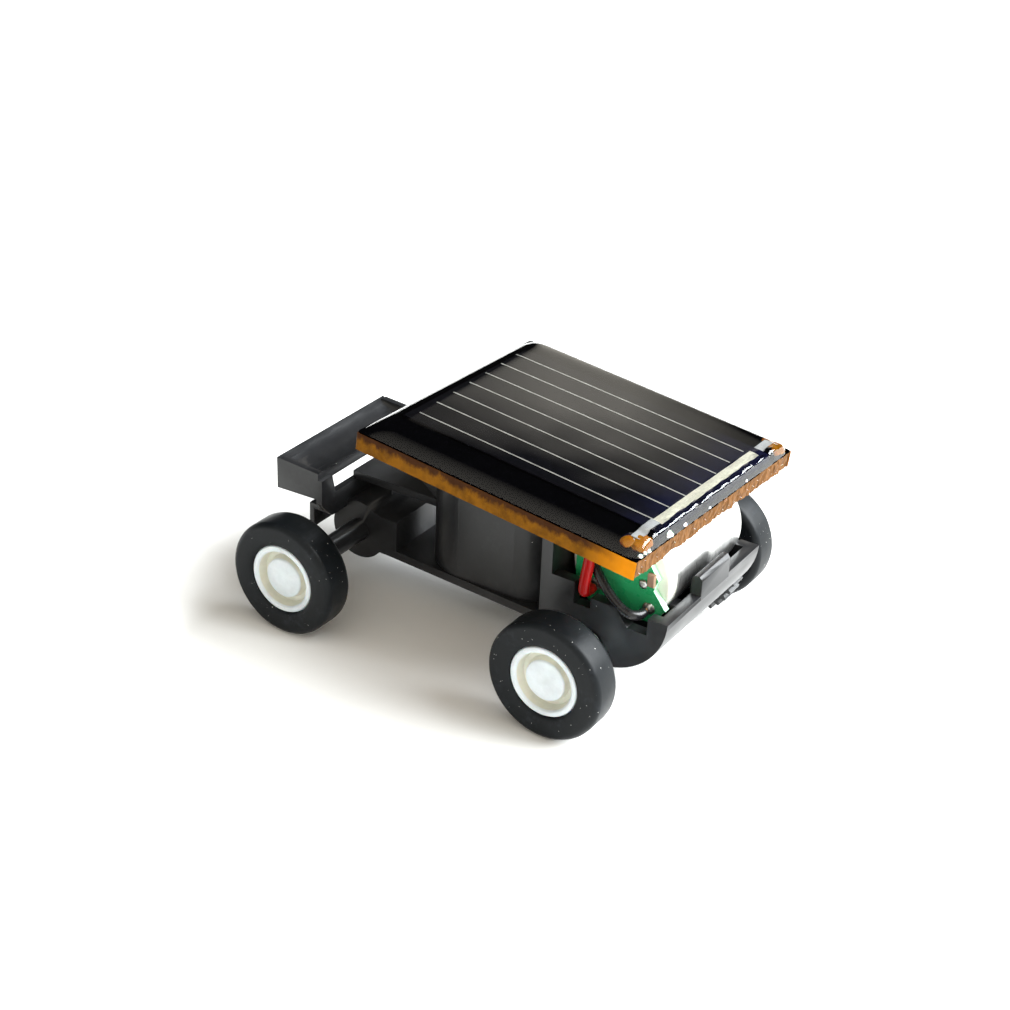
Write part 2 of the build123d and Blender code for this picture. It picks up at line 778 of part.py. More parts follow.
# ---------------------------------------------------------------- solar panel
panel_top = panel_plane(0)
panel_normal = Axis(panel_top.origin, panel_top.z_dir)
with BuildPart() as panel_board:
    with BuildSketch(panel_plane(0)):
        Rectangle(panel_length, panel_width)
        fillet(vertices(), board_corner)
    extrude(amount=-board_thickness)
    with BuildSketch(panel_plane(0)):
        with Locations(terminal_left, terminal_right):
            Circle(terminal_pin_radius + press_gap)
    extrude(amount=-board_thickness, mode=Mode.SUBTRACT)
save(panel_board, "panel_board")

with BuildPart() as panel_mask:
    with BuildSketch(panel_plane(0)):
        Rectangle(panel_length, panel_width)
        fillet(vertices(), board_corner)
        with Locations(terminal_left, terminal_right):
            Circle(terminal_window_radius, mode=Mode.SUBTRACT)
    extrude(amount=mask_thickness)
save(panel_mask, "panel_mask")

cell_top = mask_thickness + cell_thickness
with BuildPart() as solar_cell:
    with BuildSketch(panel_plane(mask_thickness)):
        with Locations(cell_offset):
            Rectangle(cell_length, cell_width)
    extrude(amount=cell_thickness)
save(solar_cell, "solar_cell")

finger_middle_x = cell_offset[0] + finger_shift
with BuildPart() as cell_fingers:
    with BuildSketch(panel_plane(cell_top)):
        for finger in range(finger_count):
            step = finger - (finger_count - 1) / 2
            finger_at = (finger_middle_x - step * finger_stagger, cell_offset[1] + step * finger_pitch)
            with Locations(finger_at):
                Rectangle(finger_length, finger_width)
    extrude(amount=finger_height)
save(cell_fingers, "cell_fingers")

busbar_x = finger_middle_x - finger_length / 2 - busbar_width / 2
with BuildPart() as cell_busbar:
    with BuildSketch(panel_plane(cell_top)):
        with Locations((busbar_x, busbar_y)):
            Rectangle(busbar_width, busbar_length)
    extrude(amount=busbar_height)
save(cell_busbar, "cell_busbar")

# The left ribbon steps down from the busbar to its terminal, the right one comes from under the cell
cell_left_y = cell_offset[1] + cell_width / 2
cell_right_y = cell_offset[1] - cell_width / 2
busbar_end_y = busbar_y + busbar_length / 2
left_end_y = terminal_left[1] - ribbon_lap
right_end_y = terminal_right[1] + ribbon_lap
ribbon_plane = Plane(
    origin=place_point(busbar_x - ribbon_width / 2, 0, 0),
    x_dir=panel_top.y_dir,
    z_dir=panel_top.x_dir,
)
with BuildPart() as tab_ribbons:
    with BuildSketch(ribbon_plane):
        with BuildLine():
            Polyline(
                (busbar_end_y, cell_top),
                (cell_left_y + ribbon_step[0], cell_top),
                (cell_left_y + ribbon_step[1], mask_thickness),
                (left_end_y, mask_thickness),
                (left_end_y, mask_thickness + ribbon_thickness),
                (cell_left_y + ribbon_step[1] + ribbon_lean, mask_thickness + ribbon_thickness),
                (cell_left_y + ribbon_step[0] + ribbon_lean, cell_top + ribbon_thickness),
                (busbar_end_y, cell_top + ribbon_thickness),
                close=True,
            )
        make_face()
        with Locations(((cell_right_y + right_end_y) / 2, mask_thickness + ribbon_thickness / 2)):
            Rectangle(cell_right_y - right_end_y, ribbon_thickness)
    extrude(amount=ribbon_width)
save(tab_ribbons, "tab_ribbons")

with BuildPart() as terminal_pins:
    with BuildSketch(panel_plane(mask_thickness)):
        with Locations(terminal_left, terminal_right):
            Circle(terminal_pin_radius)
    extrude(amount=-(board_thickness + mask_thickness + terminal_pin_reach))
save(terminal_pins, "terminal_pins")

with BuildPart() as epoxy_dome:
    with BuildSketch(panel_plane(mask_thickness)):
        Rectangle(panel_length - 2 * dome_inset, panel_width - 2 * dome_inset)
        fillet(vertices(), dome_corner)
    extrude(amount=dome_height)
    fillet(epoxy_dome.faces().sort_by(panel_normal)[-1].edges(), dome_shoulder)
    for buried in (solar_cell, cell_fingers, cell_busbar, tab_ribbons):
        add(buried.part, mode=Mode.SUBTRACT)
save(epoxy_dome, "epoxy_dome")

# Foam pads between the panel and the tops of the pod and the bulkhead
with BuildPart() as panel_pads:
    with BuildSketch(Plane.XY.offset(panel_z - pad_block / 2)):
        with Locations(((pod_rear_x + pod_front_x) / 2, 0)):
            Rectangle(pod_front_x - pod_rear_x, 2 * pod_half_width)
        fillet(vertices().sort_by(Axis.X)[-2:], pod_half_width - 0.02)
        fillet(vertices().sort_by(Axis.X)[:2], pod_rear_corner)
        with Locations((bulkhead_x - bulkhead_wall / 2, 0)):
            Rectangle(bulkhead_wall, 2 * tub_half_width)
    extrude(amount=pad_block)
    with BuildSketch(panel_plane(-board_thickness)):
        Rectangle(panel_length + cutter_margin, panel_width + cutter_margin)
    extrude(amount=cutter_margin, mode=Mode.SUBTRACT)
    with BuildSketch(panel_plane(-board_thickness - pad_thickness)):
        Rectangle(panel_length + cutter_margin, panel_width + cutter_margin)
    extrude(amount=-cutter_margin, mode=Mode.SUBTRACT)
save(panel_pads, "panel_pads")

# ---------------------------------------------------------------- leads
underside = panel_plane(-board_thickness)


def under_panel(point, height):
    """Point straight below or above another along the panel's normal, at a height above its underside."""
    local = underside.to_local_coords(Vector(*point))
    return underside.from_local_coords(Vector(local.X, local.Y, height))


lead_end_y = board_near_y + solder_height + core_length
red_corner = (red_lead_x, red_lead_y, red_lead_z)
red_route = [
    under_panel(red_corner, -solder_height - core_length),
    Vector(*red_corner),
    Vector(red_lead_x, lead_end_y, red_lead_z),
]
black_route = [
    under_panel(black_drop, -solder_height - core_length),
    Vector(*black_drop),
    Vector(black_lead_x, black_lead_y, black_lead_z),
    Vector(black_lead_x, lead_end_y, black_lead_z),
]
save(make_lead(red_route, red_bend_radius), "red_lead")
save(make_lead(black_route, black_bend_radii), "black_lead")

with BuildPart() as panel_solder:
    with BuildSketch(underside):
        with Locations(*[underside.to_local_coords(route[0]) for route in (red_route, black_route)]):
            Circle(solder_radius)
    extrude(amount=-solder_height)
    fillet(panel_solder.edges().group_by(panel_normal)[0], solder_corner)
save(panel_solder, "panel_solder")

with BuildPart() as lead_cores:
    with BuildSketch(underside.offset(-solder_height)):
        with Locations(*[underside.to_local_coords(route[0]) for route in (red_route, black_route)]):
            Circle(core_radius)
    extrude(amount=-core_length)
    with BuildSketch(side_plane(lead_end_y)):
        with Locations(*lead_joints):
            Circle(core_radius)
    extrude(amount=core_length)
save(lead_cores, "lead_cores")
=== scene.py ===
"""Looks of a miniature solar toy car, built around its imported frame.

Shapes are drawn in millimetres and become metres when a piece is finished. The frame is
+X forward, +Y left, +Z up, with its origin on the ground under the middle of the car.
"""

import json
import logging
import math
import random
from dataclasses import dataclass
from enum import Enum
from typing import Any, Callable, Iterable, Sequence

import bmesh
import bpy
from mathutils import Matrix, Vector, noise

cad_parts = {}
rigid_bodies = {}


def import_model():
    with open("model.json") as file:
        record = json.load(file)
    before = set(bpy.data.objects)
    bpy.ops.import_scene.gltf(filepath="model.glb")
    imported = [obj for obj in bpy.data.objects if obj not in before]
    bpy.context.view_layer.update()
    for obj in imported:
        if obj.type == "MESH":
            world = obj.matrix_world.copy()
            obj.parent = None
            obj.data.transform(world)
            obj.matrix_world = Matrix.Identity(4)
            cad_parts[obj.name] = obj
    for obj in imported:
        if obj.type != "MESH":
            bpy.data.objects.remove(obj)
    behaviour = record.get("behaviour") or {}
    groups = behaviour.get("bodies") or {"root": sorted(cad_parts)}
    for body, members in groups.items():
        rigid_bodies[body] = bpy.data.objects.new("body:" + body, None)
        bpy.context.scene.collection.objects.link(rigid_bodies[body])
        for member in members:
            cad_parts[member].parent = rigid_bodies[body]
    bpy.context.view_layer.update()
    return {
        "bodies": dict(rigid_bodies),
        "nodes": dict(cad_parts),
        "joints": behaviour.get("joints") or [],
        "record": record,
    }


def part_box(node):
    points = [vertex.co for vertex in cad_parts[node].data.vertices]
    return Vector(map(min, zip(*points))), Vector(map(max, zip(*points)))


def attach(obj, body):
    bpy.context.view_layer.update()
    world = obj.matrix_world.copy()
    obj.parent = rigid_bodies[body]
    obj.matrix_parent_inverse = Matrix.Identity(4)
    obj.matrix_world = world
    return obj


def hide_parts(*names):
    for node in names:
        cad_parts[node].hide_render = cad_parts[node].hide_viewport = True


MM = 0.001
LOG = logging.getLogger("solar_car")

Colour = tuple[float, float, float]


class Side(Enum):
    """Side of the car, with its sign along Y."""

    LEFT = 1
    RIGHT = -1


class End(Enum):
    """End of the car, with the body that its wheels turn with."""

    FRONT = "front_axle_set"
    REAR = "rear_axle_set"


class Effect(Enum):
    """Shader effects that several materials share, by the name of their node group."""

    DUST = "dust specks"
    SCUFF = "scuff marks"
    GRAIN = "moulded grain"
    MOTTLE = "colour mottle"


# ---------------------------------------------------------------- shader tools


class Pen:
    """Adds nodes to one node tree and links them as it goes."""

    def __init__(self, tree: bpy.types.NodeTree) -> None:
        """Starts on a tree.

        Args:
            tree: The material's or the group's node tree.
        """
        self.tree = tree

    def put(self, kind: str, inputs: dict | None = None, **settings: Any) -> bpy.types.Node:
        """Adds a node.

        Args:
            kind: The node's type, without the leading "ShaderNode".
            inputs: Values or output sockets by input name or index.
            settings: Properties of the node itself.

        Returns:
            The new node.
        """
        node = self.tree.nodes.new("ShaderNode" + kind)
        for key, value in settings.items():
            setattr(node, key, value)
        return self.feed(node, inputs or {})

    def feed(self, node: bpy.types.Node, inputs: dict) -> bpy.types.Node:
        """Links or sets a node's inputs.

        Args:
            node: The node.
            inputs: Values or output sockets by input name or index.

        Returns:
            The same node.
        """
        for key, value in inputs.items():
            if isinstance(value, bpy.types.NodeSocket):
                self.tree.links.new(value, node.inputs[key])
            else:
                node.inputs[key].default_value = value
        return node

    def maths(self, operation: str, first: Any, second: Any = 0.0) -> bpy.types.NodeSocket:
        """Combines two values and returns the result's socket."""
        return self.put("Math", {0: first, 1: second}, operation=operation).outputs[0]

    def mix(self, factor: Any, first: Any, second: Any) -> bpy.types.NodeSocket:
        """Mixes two colours by a factor and returns the result's socket."""
        return self.put("Mix", {0: factor, 6: first, 7: second}, data_type="RGBA").outputs[2]

    def span(self, value: Any, low: float, high: float, out_low: float = 0.0, out_high: float = 1.0) -> Any:
        """Maps a value from one range to another, clamped, and returns the result's socket."""
        inputs = {0: value, 1: low, 2: high, 3: out_low, 4: out_high}
        return self.put("MapRange", inputs).outputs[0]

    def noise(self, vector: Any, scale: Any, detail: float = 3.0, roughness: float = 0.5) -> Any:
        """Adds a noise texture and returns its factor's socket."""
        inputs = {"Vector": vector, "Scale": scale, "Detail": detail, "Roughness": roughness}
        return self.put("TexNoise", inputs).outputs[0]

    def bump(self, strength: float, depth_mm: float, height: Any) -> bpy.types.NodeSocket:
        """Turns a height into a bumped normal and returns its socket."""
        inputs = {"Strength": strength, "Distance": depth_mm * MM, "Height": height}
        return self.put("Bump", inputs).outputs[0]

    def place(self) -> bpy.types.NodeSocket:
        """Adds the piece's own coordinates and returns their socket."""
        return self.put("TexCoord").outputs["Object"]

    def stretch(self, vector: Any, scale: Sequence[float], turn: Sequence[float] = (0, 0, 0)) -> Any:
        """Scales and turns a pattern's coordinates and returns their socket."""
        inputs = {"Vector": vector, "Scale": scale, "Rotation": turn}
        return self.put("Mapping", inputs).outputs[0]

    def effect(self, effect: Effect, **inputs: Any) -> bpy.types.Node:
        """Adds one of the shared effects.

        Args:
            effect: Which effect.
            inputs: Values or output sockets by input name.

        Returns:
            The group node.
        """
        node = self.tree.nodes.new("ShaderNodeGroup")
        node.node_tree = EffectShelf.group(effect)
        return self.feed(node, inputs)


class EffectShelf:
    """Builds each shared effect's node group once."""

    @staticmethod
    def group(effect: Effect) -> bpy.types.NodeTree:
        """Returns an effect's node group, which is built on first use."""
        found = bpy.data.node_groups.get(effect.value)
        if found:
            return found
        tree = bpy.data.node_groups.new(effect.value, "ShaderNodeTree")
        builders = {
            Effect.DUST: EffectShelf._dust,
            Effect.SCUFF: EffectShelf._scuff,
            Effect.GRAIN: EffectShelf._grain,
            Effect.MOTTLE: EffectShelf._mottle,
        }
        builders[effect](tree)
        return tree

    @staticmethod
    def _sockets(tree: bpy.types.NodeTree, inputs: dict[str, str], outputs: dict[str, str]) -> tuple:
        """Declares a group's sockets.

        Args:
            tree: The group.
            inputs: Socket type by input name.
            outputs: Socket type by output name.

        Returns:
            A pen on the group, its input node's outputs, and its output node.
        """
        for direction, sockets in (("INPUT", inputs), ("OUTPUT", outputs)):
            for name, kind in sockets.items():
                tree.interface.new_socket(name, in_out=direction, socket_type="NodeSocket" + kind)
        entry = tree.nodes.new("NodeGroupInput")
        leave = tree.nodes.new("NodeGroupOutput")
        return Pen(tree), entry.outputs, leave

    @staticmethod
    def _dust(tree: bpy.types.NodeTree) -> None:
        """Scattered pale specks, thicker in drifts."""
        sockets = {"Vector": "Vector", "Scale": "Float", "Amount": "Float"}
        pen, given, leave = EffectShelf._sockets(tree, sockets, {"Mask": "Float"})
        cells = pen.put("TexVoronoi", {"Vector": given["Vector"], "Scale": given["Scale"]})
        chance = pen.put("SeparateColor", {0: cells.outputs["Color"]})
        size = pen.span(chance.outputs[1], 0.0, 1.0, 0.05, 0.2)
        inside = pen.maths("LESS_THAN", cells.outputs["Distance"], size)
        drift = pen.noise(given["Vector"], pen.maths("MULTIPLY", given["Scale"], 0.12), 2.0)
        wanted = pen.maths("MULTIPLY", given["Amount"], pen.span(drift, 0.35, 0.65, 0.2, 1.8))
        kept = pen.maths("LESS_THAN", chance.outputs[0], wanted)
        pen.feed(leave, {0: pen.maths("MULTIPLY", inside, kept)})

    @staticmethod
    def _scuff(tree: bpy.types.NodeTree) -> None:
        """Soft rubbed patches broken by fine streaks."""
        sockets = {"Vector": "Vector", "Scale": "Float", "Amount": "Float"}
        pen, given, leave = EffectShelf._sockets(tree, sockets, {"Mask": "Float"})
        patch = pen.noise(given["Vector"], given["Scale"], 4.0, 0.62)
        streaked = pen.stretch(given["Vector"], (1.0, 0.18, 1.0), (0.3, 0.1, 0.6))
        streak = pen.noise(streaked, pen.maths("MULTIPLY", given["Scale"], 7.0), 3.0, 0.6)
        worn = pen.maths("MULTIPLY", pen.span(patch, 0.5, 0.72), pen.span(streak, 0.42, 0.68))
        pen.feed(leave, {0: pen.maths("MULTIPLY", worn, given["Amount"])})

    @staticmethod
    def _grain(tree: bpy.types.NodeTree) -> None:
        """Fine height of a moulded or cast skin, with a broad tone for its gloss."""
        sockets = {"Vector": "Vector", "Scale": "Float"}
        pen, given, leave = EffectShelf._sockets(tree, sockets, {"Height": "Float", "Tone": "Float"})
        fine = pen.noise(given["Vector"], given["Scale"], 5.0, 0.6)
        broad = pen.noise(given["Vector"], pen.maths("MULTIPLY", given["Scale"], 0.08), 3.0, 0.5)
        height = pen.maths("ADD", pen.maths("MULTIPLY", fine, 0.6), pen.maths("MULTIPLY", broad, 0.4))
        pen.feed(leave, {0: height, 1: pen.span(broad, 0.3, 0.7)})

    @staticmethod
    def _mottle(tree: bpy.types.NodeTree) -> None:
        """Two colours that run into each other in soft irregular patches."""
        sockets = {"Vector": "Vector", "Scale": "Float", "Balance": "Float"}
        sockets |= {"First": "Color", "Second": "Color"}
        pen, given, leave = EffectShelf._sockets(tree, sockets, {"Color": "Color"})
        patch = pen.noise(given["Vector"], given["Scale"], 5.0, 0.65)
        shifted = pen.maths("ADD", patch, given["Balance"])
        mixed = pen.mix(pen.span(shifted, 0.38, 0.62), given["First"], given["Second"])
        pen.feed(leave, {0: mixed})


def rgba(colour: Colour, gain: float = 1.0) -> tuple[float, float, float, float]:
    """Returns a linear colour with alpha, brightened by a gain."""
    return tuple(min(1.0, part * gain) for part in colour) + (1.0,)


def new_material(name: str) -> tuple[bpy.types.Material, Pen, bpy.types.Node]:
    """Starts a material.

    Args:
        name: The material's name.

    Returns:
        The material, a pen on its tree and its Principled BSDF node.
    """
    material = bpy.data.materials.new(name)
    material.use_nodes = True
    return material, Pen(material.node_tree), material.node_tree.nodes["Principled BSDF"]


@dataclass(frozen=True)
class Moulded:
    """Moulded plastic or rubber: faint mottling, a fine skin, dust and scuffs."""

    name: str
    colour: Colour
    roughness: float = 0.35
    specular: float = 0.5
    grain_mm: float = 0.12
    grain_depth_mm: float = 0.004
    dust: float = 0.02
    dust_mm: float = 0.25
    scuffs: float = 0.1
    wear_colour: Colour = (0.35, 0.35, 0.36)
    subsurface: float = 0.0

    def material(self) -> bpy.types.Material:
        """Builds the material."""
        material, pen, shader = new_material(self.name)
        place = pen.place()
        tone = pen.effect(
            Effect.MOTTLE,
            Vector=place,
            Scale=0.4 / MM,
            Balance=0.0,
            First=rgba(self.colour, 0.88),
            Second=rgba(self.colour, 1.1),
        )
        grain = pen.effect(Effect.GRAIN, Vector=place, Scale=1 / (self.grain_mm * MM))
        dust = pen.effect(Effect.DUST, Vector=place, Scale=1 / (self.dust_mm * MM), Amount=self.dust)
        scuff = pen.effect(Effect.SCUFF, Vector=place, Scale=0.45 / MM, Amount=self.scuffs)
        worn = pen.mix(scuff.outputs[0], tone.outputs[0], rgba(self.wear_colour))
        dusty = pen.mix(dust.outputs[0], worn, rgba((0.6, 0.6, 0.58)))
        gloss = pen.span(grain.outputs["Tone"], 0.0, 1.0, self.roughness * 0.85, self.roughness * 1.2)
        rubbed = pen.maths("ADD", gloss, pen.maths("MULTIPLY", scuff.outputs[0], 0.35))
        bump = pen.bump(0.6, self.grain_depth_mm, grain.outputs["Height"])
        pen.feed(shader, {"Base Color": dusty, "Roughness": rubbed, "Normal": bump})
        pen.feed(shader, {"Specular IOR Level": self.specular})
        if self.subsurface:
            pen.feed(shader, {"Subsurface Weight": self.subsurface, "Subsurface Scale": 0.4 * MM})
        return material


@dataclass(frozen=True)
class Metal:
    """Drawn, turned or plated metal with fine streaks and a little tarnish."""

    name: str
    colour: Colour
    roughness: float = 0.28
    streak: tuple[float, float, float] = (1.0, 0.05, 1.0)
    tarnish: Colour = (0.25, 0.2, 0.14)
    tarnish_amount: float = 0.25

    def material(self) -> bpy.types.Material:
        """Builds the material."""
        material, pen, shader = new_material(self.name)
        place = pen.place()
        drawn = pen.noise(pen.stretch(place, self.streak), 14 / MM, 4.0, 0.65)
        scuff = pen.effect(Effect.SCUFF, Vector=place, Scale=0.6 / MM, Amount=self.tarnish_amount)
        tone = pen.mix(pen.span(drawn, 0.3, 0.7), rgba(self.colour, 0.82), rgba(self.colour, 1.08))
        dull = pen.mix(scuff.outputs[0], tone, rgba(self.tarnish))
        gloss = pen.span(drawn, 0.25, 0.75, self.roughness * 0.75, self.roughness * 1.35)
        bump = pen.bump(0.35, 0.003, drawn)
        pen.feed(shader, {"Base Color": dull, "Roughness": gloss, "Normal": bump, "Metallic": 1.0})
        return material


@dataclass(frozen=True)
class ResinBoard:
    """Amber resin board whose cut edges are scorched along the top and pale where it was snapped; towards
    the rear its side edges carry a painted glow, a brighter amber where the lamp light falls.
    """

    name: str = "amber resin board"
    amber: Colour = (0.15, 0.058, 0.002)
    # glow: painted light, the brighter amber of the side edges lit by the lamp near the rear.
    glow: Colour = (0.62, 0.21, 0.002)
    scorch: Colour = (0.03, 0.009, 0.003)
    snapped: Colour = (0.16, 0.075, 0.028)
    specular: float = 0.06

    def material(self) -> bpy.types.Material:
        """Builds the material, which reads depth, snap and the painted glow from the mesh's edge attribute.
        """
        material, pen, shader = new_material(self.name)
        place = pen.place()
        marks = pen.put("SeparateColor", {0: pen.put("Attribute", attribute_name="edge").outputs["Color"]})
        depth, snap, glow = marks.outputs[0], marks.outputs[1], marks.outputs[2]
        resin = pen.effect(
            Effect.MOTTLE,
            Vector=place,
            Scale=1.1 / MM,
            Balance=0.02,
            First=rgba(self.amber, 0.72),
            Second=rgba(self.amber, 1.3),
        )
        # Painted light: the glow colour brightens the side edges towards the rear, where the lamp shines on
        # them.
        lit = pen.mix(glow, resin.outputs[0], rgba(self.glow))
        patch = pen.noise(pen.stretch(place, (1.0, 1.0, 0.6)), 1.6 / MM, 5.0, 0.7)
        reach = pen.span(depth, 0.05, 0.75, 0.62, 0.0)
        burnt = pen.span(pen.maths("ADD", patch, reach), 0.72, 0.98)
        # Scorch is thinned where the painted glow lies.
        held = pen.maths("MULTIPLY", burnt, pen.span(glow, 0.0, 0.8, 0.9, 0.05))
        scorched = pen.mix(held, lit, rgba(self.scorch))
        fibres = pen.noise(pen.stretch(place, (1.0, 1.0, 0.14)), 9.0 / MM, 3.0, 0.6)
        pale = pen.mix(pen.span(fibres, 0.35, 0.7), rgba(self.snapped, 0.55), rgba(self.snapped, 1.35))
        edge = pen.mix(snap, scorched, pale)
        bump = pen.bump(0.8, 0.02, fibres)
        gloss = pen.span(fibres, 0.3, 0.7, 0.5, 0.75)
        pen.feed(shader, {"Base Color": edge, "Roughness": gloss, "Normal": bump})
        pen.feed(shader, {"Specular IOR Level": self.specular})
        return material


@dataclass(frozen=True)
class Silicon:
    """Near-black solar cell with a blue tinge that deepens towards its busbar."""

    name: str = "silicon cell"
    dark: Colour = (0.0008, 0.0008, 0.0014)
    blue: Colour = (0.003, 0.0034, 0.013)
    blue_from_mm: float = -9.5
    blue_to_mm: float = -13.0
    specular: float = 0.06

    def material(self) -> bpy.types.Material:
        """Builds the material."""
        material, pen, shader = new_material(self.name)
        place = pen.place()
        along = pen.put("SeparateXYZ", {0: place}).outputs[0]
        near_bar = pen.span(along, self.blue_to_mm * MM, self.blue_from_mm * MM, 1.0, 0.0)
        cloud = pen.noise(place, 0.35 / MM, 3.0, 0.6)
        tinge = pen.maths("MULTIPLY", near_bar, pen.span(cloud, 0.35, 0.65, 0.25, 1.0))
        fine = pen.noise(pen.stretch(place, (1.0, 0.1, 1.0)), 30 / MM, 2.0)
        tone = pen.mix(tinge, rgba(self.dark), rgba(self.blue))
        pen.feed(shader, {"Base Color": tone, "Roughness": pen.span(fine, 0.2, 0.8, 0.3, 0.45)})
        pen.feed(shader, {"Specular IOR Level": self.specular})
        return material


@dataclass(frozen=True)
class ClearResin:
    """Clear cast epoxy that bends what is seen through it and lets lamps through."""

    name: str = "clear epoxy"
    tint: Colour = (0.97, 0.975, 0.98)
    shadow_tint: Colour = (0.93, 0.93, 0.93)
    roughness: float = 0.012
    bending: float = 1.5

    def material(self) -> bpy.types.Material:
        """Builds the material."""
        material, pen, shader = new_material(self.name)
        place = pen.place()
        cloud = pen.noise(place, 0.3 / MM, 2.0)
        rough = pen.span(cloud, 0.3, 0.7, self.roughness * 0.7, self.roughness * 1.5)
        pen.feed(shader, {"Roughness": rough, "Base Color": rgba(self.tint)})
        pen.feed(shader, {"Transmission Weight": 1.0, "IOR": self.bending})
        through = pen.put("BsdfTransparent", {"Color": rgba(self.shadow_tint)})
        path = pen.put("LightPath")
        choice = {0: path.outputs["Is Shadow Ray"], 1: shader.outputs[0], 2: through.outputs[0]}
        mixed = pen.put("MixShader", choice)
        pen.feed(material.node_tree.nodes["Material Output"], {"Surface": mixed.outputs[0]})
        return material


class Paint:
    """Every finish of the car, built once and found by name."""

    WORN_CREAM = (0.5, 0.45, 0.35)
    WORN_GREEN = (0.25, 0.55, 0.32)
    WORN_RED = (0.8, 0.2, 0.2)

    # A moulding's row: colour, roughness, specular, grain and its depth in mm, dust and its size in mm,
    # scuffs, colour where worn, subsurface.
    FINISHES = (
        Moulded("black moulding", (0.013, 0.0135, 0.015), 0.33, 0.42, 0.2, 0.003, 0.003, 0.2, 0.03),
        # Tyre: the rubbed patches are wear, tinted blue-grey as a painted sheen of the light on the tread.
        Moulded(
            "tyre rubber", (0.006, 0.0075, 0.009), 0.4, 0.14, 0.1, 0.004, 0.07, 0.13, 0.2, (0.07, 0.078, 0.1)
        ),
        # One hub plastic painted twice: the white row has a painted bluish cast of cool light, and the next
        # row is painted warm shade for the recess.
        Moulded(
            "white hub plastic", (0.6, 0.655, 0.69), 0.3, 0.45, 0.3, 0.002, 0.01, 0.2, 0.05, WORN_CREAM, 0.15
        ),
        Moulded(
            "cream hub plastic", (0.64, 0.64, 0.56), 0.34, 0.4, 0.3, 0.002, 0.01, 0.2, 0.05, WORN_CREAM, 0.15
        ),
        Moulded("cream end cap", (0.84, 0.83, 0.76), 0.36, 0.5, 0.2, 0.003, 0.02, 0.2, 0.1, WORN_CREAM, 0.1),
        Moulded("green board", (0.03, 0.42, 0.16), 0.28, 0.5, 0.08, 0.004, 0.02, 0.2, 0.05, WORN_GREEN, 0.1),
        # Cut edge: paler as cut, and painted brighter still as the lamp's glare on it.
        Moulded(
            "cut green board", (0.5, 0.85, 0.58), 0.5, 0.4, 0.05, 0.01, 0.0, 0.2, 0.3, (0.55, 0.75, 0.6), 0.2
        ),
        Moulded("brown chip", (0.27, 0.17, 0.11), 0.5, 0.4, 0.05, 0.003, 0.0, 0.2, 0.1),
        Moulded("black solder mask", (0.0006, 0.0006, 0.0008), 0.6, 0.0, 0.15, 0.0, 0.0, 0.16, 0.0),
        Moulded("foam tape", (0.03, 0.03, 0.03), 0.85, 0.2, 0.06, 0.03, 0.0, 0.2, 0.2),
        Moulded(
            "red insulation", (0.36, 0.003, 0.003), 0.3, 0.25, 0.1, 0.002, 0.0, 0.2, 0.02, WORN_RED, 0.15
        ),
        Moulded("black insulation", (0.008, 0.008, 0.009), 0.26, 0.4, 0.1, 0.002, 0.02, 0.2, 0.05),
        Moulded("ferrite", (0.03, 0.03, 0.032), 0.6, 0.4, 0.05, 0.003, 0.0, 0.2, 0.1),
        Moulded(
            "amber resin", (0.15, 0.052, 0.0015), 0.4, 0.05, 0.3, 0.0, 0.0, 0.2, 0.0, (0.8, 0.5, 0.1), 0.3
        ),
        # Pale white for the broken fibres; on the resin beads the same white is a painted highlight on clear
        # resin.
        Moulded(
            "milky resin", (0.86, 0.85, 0.82), 0.12, 0.6, 0.3, 0.002, 0.0, 0.2, 0.0, (0.8, 0.8, 0.8), 0.5
        ),
        Metal("steel", (0.6, 0.6, 0.6), 0.2),
        Metal("can steel", (0.86, 0.86, 0.84), 0.3, (0.06, 1.0, 0.06), (0.4, 0.36, 0.3), 0.1),
        Metal("brass", (0.72, 0.52, 0.22), 0.25),
        Metal("copper", (0.78, 0.36, 0.2), 0.3),
        Metal("solder", (0.62, 0.62, 0.6), 0.32, (1.0, 1.0, 1.0), (0.3, 0.28, 0.24), 0.5),
        Metal("dull solder", (0.46, 0.47, 0.47), 0.42, (1.0, 1.0, 1.0), (0.3, 0.28, 0.24), 0.6),
        Metal("printed silver", (0.42, 0.42, 0.38), 0.45, (0.2, 1.0, 1.0), (0.3, 0.28, 0.22), 0.4),
        Metal("tinned strip", (0.93, 0.9, 0.74), 0.34, (1.0, 0.3, 1.0), (0.6, 0.52, 0.34), 0.4),
        ResinBoard(),
        Silicon(),
        ClearResin(),
    )

    def __init__(self) -> None:
        """Builds every finish."""
        self.shelf = {finish.name: finish.material() for finish in self.FINISHES}

    def __getitem__(self, name: str) -> bpy.types.Material:
        """Returns a finish's material by its name."""
        return self.shelf[name]


# ---------------------------------------------------------------- mesh tools


def only(parts: Iterable, kind: type) -> list:
    """Returns the parts of a mesh that are of one kind."""
    return [part for part in parts if isinstance(part, kind)]


def stand(name: str, data: bpy.types.ID) -> bpy.types.Object:
    """Makes an object from its data and puts it in the scene."""
    made = bpy.data.objects.new(name, data)
    bpy.context.scene.collection.objects.link(made)
    return made


